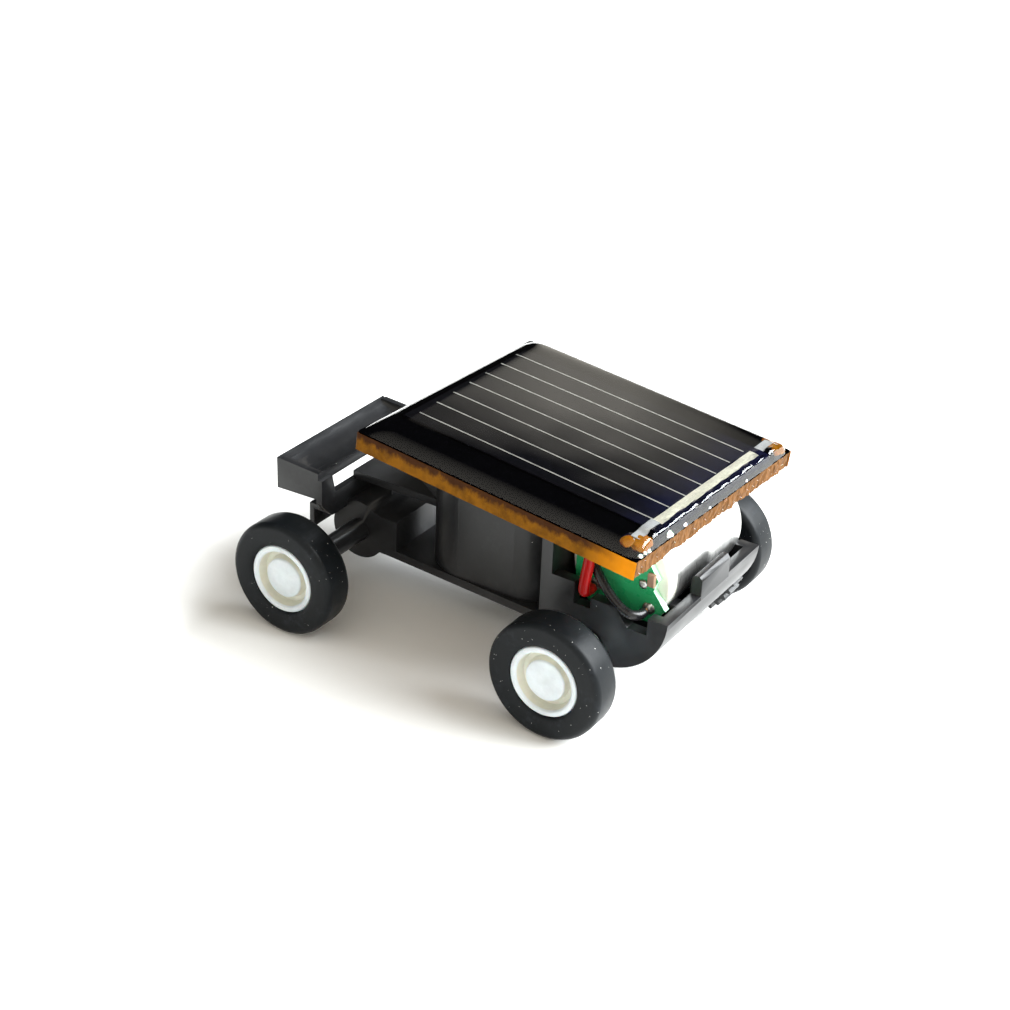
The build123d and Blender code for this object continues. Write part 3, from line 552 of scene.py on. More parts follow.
class Shape:
    """A mesh under construction, in millimetres."""

    BEVEL_FACES = 2

    def __init__(self) -> None:
        """Starts an empty mesh."""
        self.bm = bmesh.new()

    def chain(self, points: Iterable[Sequence[float]], closed: bool = False) -> list[bmesh.types.BMEdge]:
        """Draws joined straight edges.

        Args:
            points: The points of the line.
            closed: Whether the last point joins the first.

        Returns:
            The edges.
        """
        verts = [self.bm.verts.new(point) for point in points]
        following = verts[1:] + ([verts[0]] if closed else [])
        return [self.bm.edges.new(pair) for pair in zip(verts, following)]

    def turn_profile(self, profile: Sequence[tuple[float, float]], centre: Vector, steps: int) -> None:
        """Spins a closed profile about an axis along the car's width.

        Args:
            profile: Points as radius and Y.
            centre: A point on the axis.
            steps: Number of faces round the axis.
        """
        edges = self.chain([(centre.x + radius, y, centre.z) for radius, y in profile], closed=True)
        verts = list({vert for edge in edges for vert in edge.verts})
        bmesh.ops.spin(
            self.bm,
            geom=verts + edges,
            cent=(centre.x, 0, centre.z),
            axis=(0, 1, 0),
            dvec=(0, 0, 0),
            angle=math.tau,
            steps=steps,
            use_merge=True,
            use_duplicate=False,
        )
        bmesh.ops.remove_doubles(self.bm, verts=self.bm.verts, dist=1e-4)

    def soften(self, width: float, angle: float, keep: Callable) -> None:
        """Bevels the edges that turn by more than an angle.

        Args:
            width: Width of the bevel.
            angle: Smallest turn in degrees of an edge that is bevelled.
            keep: Test that an edge has to pass.
        """
        sharp = [edge for edge in self.bm.edges if edge.is_manifold]
        sharp = [edge for edge in sharp if edge.calc_face_angle(0.0) > math.radians(angle)]
        sharp = [edge for edge in sharp if keep(edge)]
        bmesh.ops.bevel(
            self.bm,
            geom=sharp,
            offset=width,
            offset_type="OFFSET",
            segments=self.BEVEL_FACES,
            profile=0.5,
            affect="EDGES",
            material=-1,
            clamp_overlap=True,
        )

    def outline(self, length: float, width: float, corner: float, spacing: float) -> list:
        """Draws a rounded rectangle of evenly spaced points round the origin.

        Args:
            length: Size along X.
            width: Size along Y.
            corner: Radius of its corners.
            spacing: Distance between points on its straight sides.

        Returns:
            The edges of the closed line.
        """
        bmesh.ops.create_grid(self.bm, x_segments=1, y_segments=1, size=0.5)
        bmesh.ops.scale(self.bm, vec=(length, width, 1), verts=self.bm.verts)
        bmesh.ops.bevel(
            self.bm,
            geom=self.bm.verts[:],
            offset=corner,
            segments=5,
            profile=0.5,
            affect="VERTICES",
            material=-1,
        )
        bmesh.ops.delete(self.bm, geom=self.bm.faces[:], context="FACES_ONLY")
        for edge in [edge for edge in self.bm.edges if edge.calc_length() > 2 * corner]:
            cuts = int(edge.calc_length() / spacing)
            bmesh.ops.subdivide_edges(self.bm, edges=[edge], cuts=cuts)
        return self.bm.edges[:]

    def drop(self, edges: list[bmesh.types.BMEdge], by: float, layers: int) -> list[bmesh.types.BMEdge]:
        """Extrudes a closed line downwards in layers.

        Args:
            edges: The line's edges.
            by: Total distance.
            layers: Number of layers.

        Returns:
            The lowest line's edges.
        """
        for _ in range(layers):
            made = bmesh.ops.extrude_edge_only(self.bm, edges=edges)["geom"]
            verts = only(made, bmesh.types.BMVert)
            bmesh.ops.translate(self.bm, verts=verts, vec=(0, 0, -by / layers))
            edges = [edge for edge in only(made, bmesh.types.BMEdge) if set(edge.verts) <= set(verts)]
        return edges

    def blob(self, place: Matrix, radius: float, height: float, seed: int, rough: float = 0.12) -> None:
        """Adds a lumpy drop that sits on a surface.

        Args:
            place: Where it sits, with Z out of the surface.
            radius: Its radius along the surface.
            height: Its height over the surface.
            seed: Number that makes its lumps its own.
            rough: Size of its lumps against its radius.
        """
        made = bmesh.ops.create_icosphere(self.bm, subdivisions=3, radius=1.0)["verts"]
        for vert in made:
            lump = 1 + rough * noise.noise(vert.co * 1.6 + Vector((seed * 3.1, seed * 1.7, 0)))
            vert.co = vert.co * lump
            vert.co.z = max(vert.co.z, -0.05)
        bmesh.ops.scale(self.bm, vec=(radius, radius, height), verts=made)
        bmesh.ops.transform(self.bm, matrix=place, verts=made)

    def finish(
        self,
        name: str,
        body: str,
        material: bpy.types.Material,
        slot: str,
        replaces: Sequence[str] = (),
        place: Matrix | None = None,
        smooth: float = 35.0,
    ) -> bpy.types.Object:
        """Turns the mesh into a piece that rides on a body.

        Args:
            name: The piece's name.
            body: The body that it moves with.
            material: Its material.
            slot: The record's material slot for its finish; not used.
            replaces: CAD nodes that it stands for.
            place: Where the shape's own frame lies in the car's, or None if it was drawn in place.
            smooth: Angle in degrees over which an edge stays sharp.

        Returns:
            The piece.
        """
        if place is not None:
            bmesh.ops.transform(self.bm, matrix=place, verts=self.bm.verts)
        bmesh.ops.scale(self.bm, vec=(MM, MM, MM), verts=self.bm.verts)
        bmesh.ops.recalc_face_normals(self.bm, faces=self.bm.faces)
        mesh = bpy.data.meshes.new(name)
        self.bm.to_mesh(mesh)
        self.bm.free()
        mesh.shade_smooth()
        mesh.set_sharp_from_angle(angle=math.radians(smooth))
        mesh.materials.append(material)
        piece = stand(name, mesh)
        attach(piece, body)
        if replaces:
            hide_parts(*replaces)
        LOG.info("%s rides on %s with %d faces", name, body, len(mesh.polygons))
        return piece


def dress(frame: dict, finishes: dict[str, bpy.types.Material]) -> None:
    """Gives CAD nodes that stay in view their materials.

    Args:
        frame: The loaded frame.
        finishes: Material by node name.
    """
    for node, material in finishes.items():
        mesh = frame["nodes"][node].data
        mesh.materials.clear()
        mesh.materials.append(material)


def arc(centre: tuple[float, float], radius: float, start: float, end: float, steps: int) -> list[tuple]:
    """Returns points on an arc, with its angles in degrees."""
    angles = [math.radians(start + (end - start) * step / steps) for step in range(steps + 1)]
    return [(centre[0] + radius * math.cos(a), centre[1] + radius * math.sin(a)) for a in angles]


# ---------------------------------------------------------------- the car's sub-assemblies


@dataclass
class Wheels:
    """Four rubber tyres on moulded hubs, and the axles that they turn with."""

    paint: Paint
    radius: float = 3.77
    bore: float = 2.255
    outer_y: float = 11.0
    width: float = 2.22
    shoulder: float = 0.42
    ring_inner: float = 1.8
    cap_radius: float = 1.32
    boss_radius: float = 0.9
    axle_radius: float = 0.51
    steps: int = 96

    def boss_end(self, end: End) -> float:
        """Returns Y of a hub boss's inner end: short in front, where a long sleeve meets it."""
        return 8.3 if end is End.FRONT else 5.85

    def centre(self, end: End) -> Vector:
        """Returns a wheel pair's centre on the car's middle plane, in millimetres."""
        low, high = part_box(f"{end.name.lower()}_axle")
        return (low + high) / 2 / MM

    def tyre(self, end: End, side: Side) -> bpy.types.Object:
        """Builds a tyre with a flat tread, soft shoulders and a stepped bead."""
        centre = self.centre(end)
        inner_y = self.outer_y - self.width
        top = self.radius - self.shoulder
        profile = [(self.bore, inner_y + 0.12), (self.bore, self.outer_y - 0.16)]
        profile += [(self.bore + 0.1, self.outer_y - 0.07), (self.bore + 0.3, self.outer_y - 0.03)]
        profile += [(2.9, self.outer_y), (top, self.outer_y - 0.01)]
        profile += arc((top, self.outer_y - self.shoulder), self.shoulder, 90, 0, 7)[1:]
        profile += arc((top, inner_y + self.shoulder), self.shoulder, 0, -90, 7)
        profile += [(self.bore + 0.12, inner_y)]
        shape = Shape()
        shape.turn_profile([(r, side.value * y) for r, y in profile], centre, self.steps)
        for vert in shape.bm.verts:
            out = Vector((vert.co.x - centre.x, 0, vert.co.z - centre.z))
            if out.length > top:
                vert.co -= out.normalized() * 0.012 * (1 + noise.noise(vert.co * 1.3))
        name = f"{end.name.lower()}_{side.name.lower()}_tyre"
        rubber = self.paint["tyre rubber"]
        return shape.finish("detailed_" + name, end.value, rubber, "tyre_rubber", [name], smooth=50)

    def hub(self, end: End, side: Side) -> bpy.types.Object:
        """Builds a hub with a bevelled rim ring, a recess and a domed cap."""
        face = self.outer_y - 0.12
        floor = self.outer_y - 0.8
        web = floor - 0.6
        inner_y = self.outer_y - self.width + 0.1
        profile = [(0.0, floor + 0.11), (0.0, face - 0.1), (0.5, face - 0.11), (0.9, face - 0.135)]
        profile += [(1.14, face - 0.17)] + arc((1.17, face - 0.31), 0.13, 80, 0, 4)
        profile += [(self.cap_radius + 0.03, floor + 0.12), (self.cap_radius + 0.1, floor)]
        profile += [(self.ring_inner - 0.1, floor), (self.ring_inner - 0.03, floor + 0.1)]
        profile += [(self.ring_inner + 0.03, face - 0.12), (self.ring_inner + 0.11, face - 0.02)]
        profile += [(self.ring_inner + 0.17, face), (self.bore - 0.14, face)]
        profile += [(self.bore - 0.07, face - 0.03)]
        profile += [(self.bore - 0.01, face - 0.12), (self.bore - 0.01, inner_y), (self.ring_inner, inner_y)]
        profile += [(self.ring_inner, web), (self.boss_radius, web), (self.boss_radius, self.boss_end(end))]
        profile += [(self.axle_radius, self.boss_end(end)), (self.axle_radius, floor + 0.11)]
        shape = Shape()
        shape.turn_profile([(r, side.value * y) for r, y in profile], self.centre(end), self.steps)
        name = f"{end.name.lower()}_{side.name.lower()}_hub"
        white = self.paint["white hub plastic"]
        piece = shape.finish("detailed_" + name, end.value, white, "hub_plastic", [name], smooth=28)
        # The recess between cap and ring gets painted shade.
        self.paint_recess_shade(piece, self.centre(end), side, floor)
        return piece

    def paint_recess_shade(self, piece: bpy.types.Object, centre: Vector, side: Side, floor: float) -> None:
        """Gives the recess between cap and ring the creamier second material, which is painted warm shade in
        the recess.

        Args:
            piece: The hub.
            centre: The wheel's centre in millimetres.
            side: The hub's side of the car.
            floor: Y of the recess's floor in millimetres.
        """
        piece.data.materials.append(self.paint["cream hub plastic"])
        for face in piece.data.polygons:
            middle = face.center / MM
            radius = math.hypot(middle.x - centre.x, middle.z - centre.z)
            depth = side.value * middle.y
            if 1.3 < radius < 1.9 and floor - 0.05 < depth < self.outer_y - 0.25:
                face.material_index = 1

    def build(self, frame: dict) -> None:
        """Builds every wheel and dresses the axles."""
        for end in End:
            for side in Side:
                self.tyre(end, side)
                self.hub(end, side)
        steel = self.paint["steel"]
        dress(frame, {"front_axle": steel, "rear_axle": steel})


@dataclass
class PanelPlace:
    """Where the solar panel lies: glued on by hand, so a little askew."""

    x: float = -4.265
    z: float = 13.17
    pitch: float = 5.37
    roll: float = 1.35
    yaw: float = -1.76

    def matrix(self) -> Matrix:
        """Returns the panel's frame in the car's, in millimetres, on the top of its board."""
        turn = Matrix.Rotation(math.radians(self.yaw), 4, "Z")
        turn = turn @ Matrix.Rotation(-math.radians(self.pitch), 4, "Y")
        turn = turn @ Matrix.Rotation(math.radians(self.roll), 4, "X")
        return Matrix.Translation((self.x, 0, self.z)) @ turn

    def under(self, point: Sequence[float], height: float) -> Vector:
        """Returns the point straight over another along the panel's normal.

        Args:
            point: A point of the car in millimetres.
            height: Height of the result over the board's top, in millimetres.

        Returns:
            The point in millimetres.
        """
        matrix = self.matrix()
        local = matrix.inverted() @ Vector(point)
        return matrix @ Vector((local.x, local.y, height))


@dataclass
class SolarPanel:
    """Resin board, solder mask, cell, strips and the crowned resin that covers them."""

    paint: Paint
    place: PanelPlace
    length: float = 19.6
    width: float = 18.2
    board: float = 1.1
    mask: float = 0.06
    terminal_left: tuple[float, float] = (-8.6, 7.6)
    terminal_right: tuple[float, float] = (-8.7, -8.3)
    window: float = 0.72
    dome_height: float = 0.86
    dome_inset: float = 0.12
    dome_corner: float = 0.9
    sunk: float = 0.02
    shoulder: float = 2.2
    rear_shoulder: float = 0.4
    busbar_x: float = -8.55
    mask_margin: float = 0.16
    ribbon_width: float = 0.55
    ribbon_thickness: float = 0.1
    dome_cells: int = 72
    dome_ripple: float = 0.006
    rear_ripple: float = 0.25
    rear_ripple_reach: float = 1.1
    fibre_count: int = 46

    def raggedness(self, point: Vector) -> tuple[float, float]:
        """Tells how rough the board's edge is at a point.

        Args:
            point: A point on the outline in the panel's own frame.

        Returns:
            The depth of its roughness in millimetres, and 1 on the snapped rear edge or 0 elsewhere.
        """
        rear = point.x < -self.length / 2 + 0.05
        front = point.x > self.length / 2 - 0.05
        if rear:
            return 0.2, 1.0
        return (0.1 if front else 0.045), 0.0

    def build_board(self) -> None:
        """Builds the board with its sawn and snapped edges, and marks them and a painted glow towards the
        rear for the material.
        """
        shape = Shape()
        top = shape.outline(self.length, self.width, 0.25, 0.11)
        bottom = shape.drop(top, self.board, layers=9)
        for edges in (top, bottom):
            bmesh.ops.contextual_create(shape.bm, geom=edges)
        marks = shape.bm.verts.layers.float_color.new("edge")
        for vert in shape.bm.verts:
            rough, snapped = self.raggedness(vert.co)
            depth = -vert.co.z / self.board
            coarse = noise.noise(Vector((vert.co.x, vert.co.y, vert.co.z * 0.8)) * 1.4)
            fine = noise.noise(Vector((vert.co.x, vert.co.y, vert.co.z * 0.35)) * 7.0)
            inward = rough * (0.5 + 0.35 * coarse + 0.5 * fine)
            inward += 0.12 * snapped * depth * (0.6 + noise.noise(vert.co * 0.9))
            towards = Vector((-vert.co.x / self.length, -vert.co.y / self.width, 0)).normalized()
            if abs(vert.co.x) > self.length / 2 - 0.05:
                towards = Vector((-math.copysign(1, vert.co.x), 0, 0))
            elif abs(vert.co.y) > self.width / 2 - 0.05:
                towards = Vector((0, -math.copysign(1, vert.co.y), 0))
            # Painted light: the side edges get brighter towards the rear, where the lamp falls on them.
            painted_rear_glow = max(0.0, 1 - (vert.co.x + self.length / 2) / 3.4) * (1 - snapped)
            vert[marks] = (depth, snapped, min(1.0, painted_rear_glow * 1.3), 1.0)
            vert.co += towards * max(0.0, inward)
        bmesh.ops.translate(shape.bm, vec=(0, 0, -0.004), verts=shape.bm.verts)
        self.finish(shape, "board_with_cut_edges", "amber resin board", "amber_board", ["panel_board"], 25)

    def build_mask(self) -> None:
        """Builds the black mask with ragged edges and a round window at each terminal."""
        shape = Shape()
        shape.outline(self.length - self.mask_margin, self.width - self.mask_margin, 0.25, 0.11)
        for vert in shape.bm.verts:
            rough, snapped = self.raggedness(vert.co * (self.length / (self.length - self.mask_margin)))
            chip = max(0.0, noise.noise(vert.co * 2.3)) * (0.02 + 0.3 * snapped)
            towards = -Vector(vert.co).normalized()
            vert.co += towards * (chip + 0.5 * rough * (0.3 + 0.3 * noise.noise(vert.co * 8.0)))
        for x, y in (self.terminal_left, self.terminal_right):
            spot = Matrix.Translation((x, y, 0))
            bmesh.ops.create_circle(shape.bm, segments=48, radius=self.window, matrix=spot)
        bmesh.ops.triangle_fill(shape.bm, edges=shape.bm.edges[:], use_beauty=True)
        made = bmesh.ops.extrude_face_region(shape.bm, geom=shape.bm.faces[:])["geom"]
        bmesh.ops.translate(shape.bm, verts=only(made, bmesh.types.BMVert), vec=(0, 0, self.mask))
        self.finish(shape, "mask_with_windows", "black solder mask", "black_mask", ["panel_mask"], 25)

    def crown(self, x: float, y: float) -> float:
        """Returns the resin's height at a point, from 0 at its edge to its full height."""
        half_x = self.length / 2 - self.dome_inset
        half_y = self.width / 2 - self.dome_inset
        rise = 1.0
        reaches = (self.shoulder if x > 0 else self.rear_shoulder, self.shoulder)
        for distance, reach in zip((half_x - abs(x), half_y - abs(y)), reaches):
            part = min(1.0, max(0.0, distance / reach))
            rise *= 1 - (1 - part) ** 3.1
        middle = (1 - (x / half_x) ** 2) * (1 - (y / half_y) ** 2)
        return self.dome_height * (0.93 * rise + 0.07 * max(0.0, middle))

    def build_dome(self) -> None:
        """Builds the crowned resin with its soft shoulders and rounded corners."""
        half = Vector((self.length / 2 - self.dome_inset, self.width / 2 - self.dome_inset))
        shape = Shape()
        bmesh.ops.create_grid(shape.bm, x_segments=self.dome_cells, y_segments=self.dome_cells, size=1.0)
        for vert in shape.bm.verts:
            spread = [math.sin(part * math.pi / 2) * 0.75 + part * 0.25 for part in vert.co.xy]
            flat = Vector((spread[0] * half.x, spread[1] * half.y))
            height = self.crown(flat.x, flat.y)
            over = [max(0.0, abs(flat[i]) - (half[i] - self.dome_corner)) / self.dome_corner for i in (0, 1)]
            if over[0] > 0 and over[1] > 0:
                disc = (over[0] * math.sqrt(1 - over[1] ** 2 / 2), over[1] * math.sqrt(1 - over[0] ** 2 / 2))
                for i in (0, 1):
                    edge = half[i] - self.dome_corner + disc[i] * self.dome_corner
                    flat[i] = math.copysign(edge, flat[i])
            broad = noise.noise(Vector((flat.x, flat.y, 0)) * 0.35)
            ripple = self.dome_ripple * broad * height / self.dome_height
            rear = max(0.0, 1 - (flat.x + half.x) / self.rear_ripple_reach)
            close = noise.noise(Vector((flat.x * 2.0, flat.y * 2.6, 1.0)))
            ripple += self.rear_ripple * rear * height * close
            vert.co = Vector((flat.x, flat.y, self.mask - self.sunk + height * 1.02 + ripple))
        rim = [edge for edge in shape.bm.edges if edge.is_boundary]
        bmesh.ops.contextual_create(shape.bm, geom=rim)
        self.finish(shape, "crowned_resin", "clear epoxy", "clear_epoxy", ["epoxy_dome"], 60)

    def build_strips(self) -> None:
        """Builds the solder-dipped ribbons that join the cell to its terminals."""
        cell_top = self.mask + 0.2
        left = [(5.35, cell_top), (6.35, cell_top), (6.75, self.mask), (7.4, self.mask)]
        right = [(-8.0, self.mask), (-7.4, self.mask), (-6.58, self.mask)]
        pads = (self.terminal_left, self.terminal_right)
        shape = Shape()
        for seed, (route, pad) in enumerate(zip((left, right), pads)):
            edges = shape.chain([(self.busbar_x - self.ribbon_width / 2, y, z) for y, z in route])
            made = bmesh.ops.extrude_edge_only(shape.bm, edges=edges)["geom"]
            across = only(made, bmesh.types.BMVert)
            bmesh.ops.translate(shape.bm, verts=across, vec=(self.ribbon_width, 0, 0))
            faces = only(made, bmesh.types.BMFace)
            region = bmesh.ops.extrude_face_region(shape.bm, geom=faces)["geom"]
            raised = only(region, bmesh.types.BMVert)
            bmesh.ops.translate(shape.bm, verts=raised, vec=(0, 0, self.ribbon_thickness))
            shape.blob(Matrix.Translation((pad[0] + 0.05, pad[1] - 0.1, self.mask)), 0.16, 0.06, seed, 0.3)
        bmesh.ops.subdivide_edges(shape.bm, edges=shape.bm.edges[:], cuts=2, use_grid_fill=True)
        for vert in shape.bm.verts:
            vert.co += Vector((0.02, 0.02, 0.012)) * noise.noise(vert.co * 3.3)
        self.finish(shape, "dipped_ribbons", "dull solder", "solder", ["tab_ribbons"], 40)

    def build_terminals(self) -> None:
        """Builds the amber drops that fill the mask's windows round the pins."""
        shape = Shape()
        spots = [(-8.35, 7.75, 0.42), (-8.75, 7.2, 0.4), (-9.0, 7.75, 0.36)]
        spots += [(-8.65, -8.2, 0.6), (-8.75, -7.75, 0.4)]
        for index, (x, y, radius) in enumerate(spots):
            shape.blob(Matrix.Translation((x, y, self.mask)), radius, 0.1, index + 50, 0.2)
        self.finish(shape, "amber_terminal_drops", "amber resin", "amber_board", (), 60)

    def build_splinters(self) -> None:
        """Builds the pale fibres and resin beads along the snapped rear edge; the beads' white colour is a
        painted highlight.
        """
        draw = random.Random(7)
        fibres = Shape()
        rear = -self.length / 2 + 0.12
        for _ in range(self.fibre_count):
            y = draw.uniform(-self.width / 2 + 0.3, self.width / 2 - 0.3)
            z = draw.uniform(-self.board + 0.1, 0.02)
            length = draw.uniform(0.12, 0.3)
            lean = Matrix.Rotation(draw.uniform(-0.9, 0.9), 4, "X") @ Matrix.Rotation(
                draw.uniform(-2.4, -0.7), 4, "Y"
            )
            spot = Matrix.Translation((rear + 0.08, y, z)) @ lean
            bmesh.ops.create_cone(
                fibres.bm,
                cap_ends=True,
                segments=5,
                radius1=0.018,
                radius2=0.006,
                depth=length,
                matrix=spot,
            )
        self.finish(fibres, "edge_fibres", "milky resin", "clear_epoxy", (), 50)
        # Clear resin beads, painted white as their highlights.
        beads = Shape()
        spots = [(8.4, 0.15), (8.0, 0.13), (7.6, 0.16), (5.35, 0.27), (3.7, 0.15), (0.9, 0.12), (-3.5, 0.12)]
        for index, (y, radius) in enumerate(spots):
            lift = 0.02 + 0.1 * draw.random()
            spot = Matrix.Translation((rear + 0.1 + radius * 0.5, y, lift))
            beads.blob(spot, radius, radius * 0.9, index + 3, 0.5)
        self.finish(beads, "resin_beads", "milky resin", "clear_epoxy", (), 60)

    def finish(
        self, shape: Shape, name: str, paint: str, slot: str, replaces: Sequence[str], smooth: float
    ) -> None:
        """Places a shape drawn in the panel's frame and makes it a piece."""
        shape.finish(name, "chassis", self.paint[paint], slot, replaces, self.place.matrix(), smooth)

    def build(self, frame: dict) -> None:
        """Builds the panel's pieces and dresses those that stay as they are."""
        self.build_board()
        self.build_mask()
        self.build_dome()
        self.build_strips()
        self.build_terminals()
        self.build_splinters()
        dress(
            frame,
            {
                "solar_cell": self.paint["silicon cell"],
                "cell_fingers": self.paint["printed silver"],
                "cell_busbar": self.paint["tinned strip"],
                "terminal_pins": self.paint["solder"],
                "panel_pads": self.paint["foam tape"],
            },
        )


@dataclass
class ChassisMoulding:
    """The black moulding, with its edges eased as a mould leaves them."""

    paint: Paint
    edge: float = 0.06
    shortest: float = 0.5

    def build(self, frame: dict) -> None:
        """Copies the CAD moulding, merges it and eases its edges."""
        shape = Shape()
        shape.bm.from_mesh(frame["nodes"]["chassis"].data)
        bmesh.ops.scale(shape.bm, vec=(1 / MM, 1 / MM, 1 / MM), verts=shape.bm.verts)
        bmesh.ops.remove_doubles(shape.bm, verts=shape.bm.verts, dist=1e-3)
        bmesh.ops.dissolve_limit(
            shape.bm, angle_limit=math.radians(0.8), verts=shape.bm.verts, edges=shape.bm.edges
        )
        shape.soften(self.edge, angle=50, keep=lambda edge: edge.calc_length() > self.shortest)
        material = self.paint["black moulding"]
        shape.finish("eased_chassis", "chassis", material, "black_plastic", ["chassis"], smooth=30)


@dataclass
class MotorUnit:
    """The motor, its gear pair and the little board on its end."""

    paint: Paint
    x: float = -9.685
    z: float = 7.826
    board_y: float = 4.05
    thickness: float = 0.45

    def build_board(self) -> None:
        """Builds the green board with a rough, paler cut edge, which is painted brighter still as the lamp's
        glare.
        """
        shape = Shape()
        outline = [(-12.285, 5.4), (-13.035, 6.5), (-12.185, 7.6), (-12.435, 8.35), (-11.485, 9.9)]
        outline += [(-8.185, 10.1), (-6.885, 8.7), (-6.885, 6.6), (-7.885, 5.4)]
        edges = shape.chain([(x, self.board_y - self.thickness, z) for x, z in outline], closed=True)
        bmesh.ops.subdivide_edges(shape.bm, edges=edges, cuts=7)
        middle = Vector((self.x, self.board_y - self.thickness, self.z))
        for vert in shape.bm.verts:
            vert.co += (middle - vert.co).normalized() * 0.05 * (1 + noise.noise(vert.co * 5.0))
        face = bmesh.ops.contextual_create(shape.bm, geom=shape.bm.edges[:])["faces"]
        made = bmesh.ops.extrude_face_region(shape.bm, geom=face)["geom"]
        bmesh.ops.translate(shape.bm, verts=only(made, bmesh.types.BMVert), vec=(0, self.thickness, 0))
        green = self.paint["green board"]
        piece = shape.finish("cut_terminal_board", "chassis", green, "green_board", ["terminal_board"])
        # The cut edge is paler as cut, and painted brighter as the lamp's glare on it.
        piece.data.materials.append(self.paint["cut green board"])
        for polygon in piece.data.polygons:
            if abs(polygon.normal.y) < 0.5:
                polygon.material_index = 1

    def build_joints(self) -> None:
        """Builds the lumpy solder joints on the board."""
        outward = Matrix.Rotation(-math.pi / 2, 4, "X")
        shape = Shape()
        spots = [(-8.365, 6.75, 0.42), (-11.885, 6.35, 0.38)]
        spots += [(self.x - 1.75, 7.83, 0.3), (self.x + 1.75, 8.33, 0.26)]
        for index, (x, z, radius) in enumerate(spots):
            spot = Matrix.Translation((x, self.board_y, z)) @ outward
            shape.blob(spot, radius, radius * 0.55, index + 20, 0.3)
        solder = self.paint["solder"]
        shape.finish("lumpy_board_joints", "chassis", solder, "solder", ["board_solder"], smooth=60)

    def build(self, frame: dict) -> None:
        """Builds the board and dresses the motor and the gears."""
        self.build_board()
        self.build_joints()
        names = {
            "motor_can": "can steel",
            "motor_end_cap": "cream end cap",
            "motor_bearing": "brass",
            "motor_magnets": "ferrite",
            "motor_shaft": "steel",
            "armature_core": "steel",
            "armature_windings": "copper",
            "commutator": "copper",
            "motor_brushes": "copper",
            "motor_pinion": "brass",
            "axle_gear": "black moulding",
            "board_chip": "brown chip",
        }
        dress(frame, {node: self.paint[finish] for node, finish in names.items()})


@dataclass
class Leads:
    """The red and black leads between the panel and the motor's board."""

    paint: Paint
    place: PanelPlace
    radius: float = 0.34
    board_y: float = 4.6
    panel_gap: float = 0.55
    board: float = 1.1

    def lead(self, colour: str, points: list[Vector], radius: float) -> None:
        """Builds one lead as a smooth round curve.

        Args:
            colour: The colour that names its finish and its CAD node.
            points: Control points in millimetres, from the panel to the motor's board.
            radius: Its radius in millimetres.
        """
        name = f"soldered_{colour}_lead"
        curve = bpy.data.curves.new(name, "CURVE")
        curve.dimensions = "3D"
        curve.bevel_depth = radius * MM
        curve.bevel_resolution = 8
        curve.resolution_u = 16
        curve.use_fill_caps = True
        spline = curve.splines.new("NURBS")
        spline.points.add(len(points) - 1)
        for target, point in zip(spline.points, points):
            target.co = (*(point * MM), 1.0)
        spline.order_u = 3
        spline.use_endpoint_u = True
        curve.materials.append(self.paint[f"{colour} insulation"])
        piece = stand(name, curve)
        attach(piece, "chassis")
        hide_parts(f"{colour}_lead")
        LOG.info("%s rides on chassis", name)

    def build(self, frame: dict) -> None:
        """Builds both leads and their joints under the panel."""
        height = -self.board - self.panel_gap
        red_low = Vector((-8.365, 5.5, 6.75))
        red_top = self.place.under(red_low, height)
        red = [red_top, red_top.lerp(red_low, 0.45), red_low + Vector((0, 0, 0.7)), red_low]
        red += [Vector((-8.365, self.board_y, 6.75))]
        self.lead("red", red, self.radius)
        black_knee = Vector((-7.785, 4.3, 9.6))
        black_low = Vector((-11.885, 5.45, 6.35))
        black_top = self.place.under(black_knee, height)
        black = [black_top, black_knee, Vector((-8.7, 4.95, 8.3)), Vector((-10.6, 5.5, 6.75))]
        black += [black_low, Vector((-11.885, self.board_y, 6.35))]
        self.lead("black", black, self.radius * 0.85)
        shape = Shape()
        for index, corner in enumerate((red_low, black_knee)):
            top = self.place.under(corner, -self.board)
            tilt = self.place.matrix().to_3x3().to_4x4()
            spot = Matrix.Translation(top) @ tilt @ Matrix.Rotation(math.pi, 4, "X")
            shape.blob(spot, 0.5, 0.3, index + 40, 0.3)
        solder = self.paint["solder"]
        shape.finish("lumpy_panel_joints", "chassis", solder, "solder", ["panel_solder"], smooth=60)
        dress(frame, {"lead_cores": self.paint["copper"]})


@dataclass
class Softbox:
    """The soft studio lamp, in metres and watts."""

    name: str = "window"
    place: tuple[float, float, float] = (-0.5, -0.36, 0.48)
    size: tuple[float, float] = (0.7, 0.7)
    watts: float = 28.0
    colour: Colour = (0.94, 0.98, 1.0)

    def build(self, aim: Sequence[float]) -> None:
        """Makes the lamp and points it at a place."""
        lamp = bpy.data.lights.new(self.name, "AREA")
        lamp.shape = "RECTANGLE"
        lamp.size, lamp.size_y = self.size
        lamp.energy = self.watts
        lamp.color = self.colour
        holder = stand(self.name, lamp)
        holder.location = self.place
        holder.rotation_euler = (Vector(aim) - holder.location).to_track_quat("-Z", "Y").to_euler()
        holder.visible_transmission = False


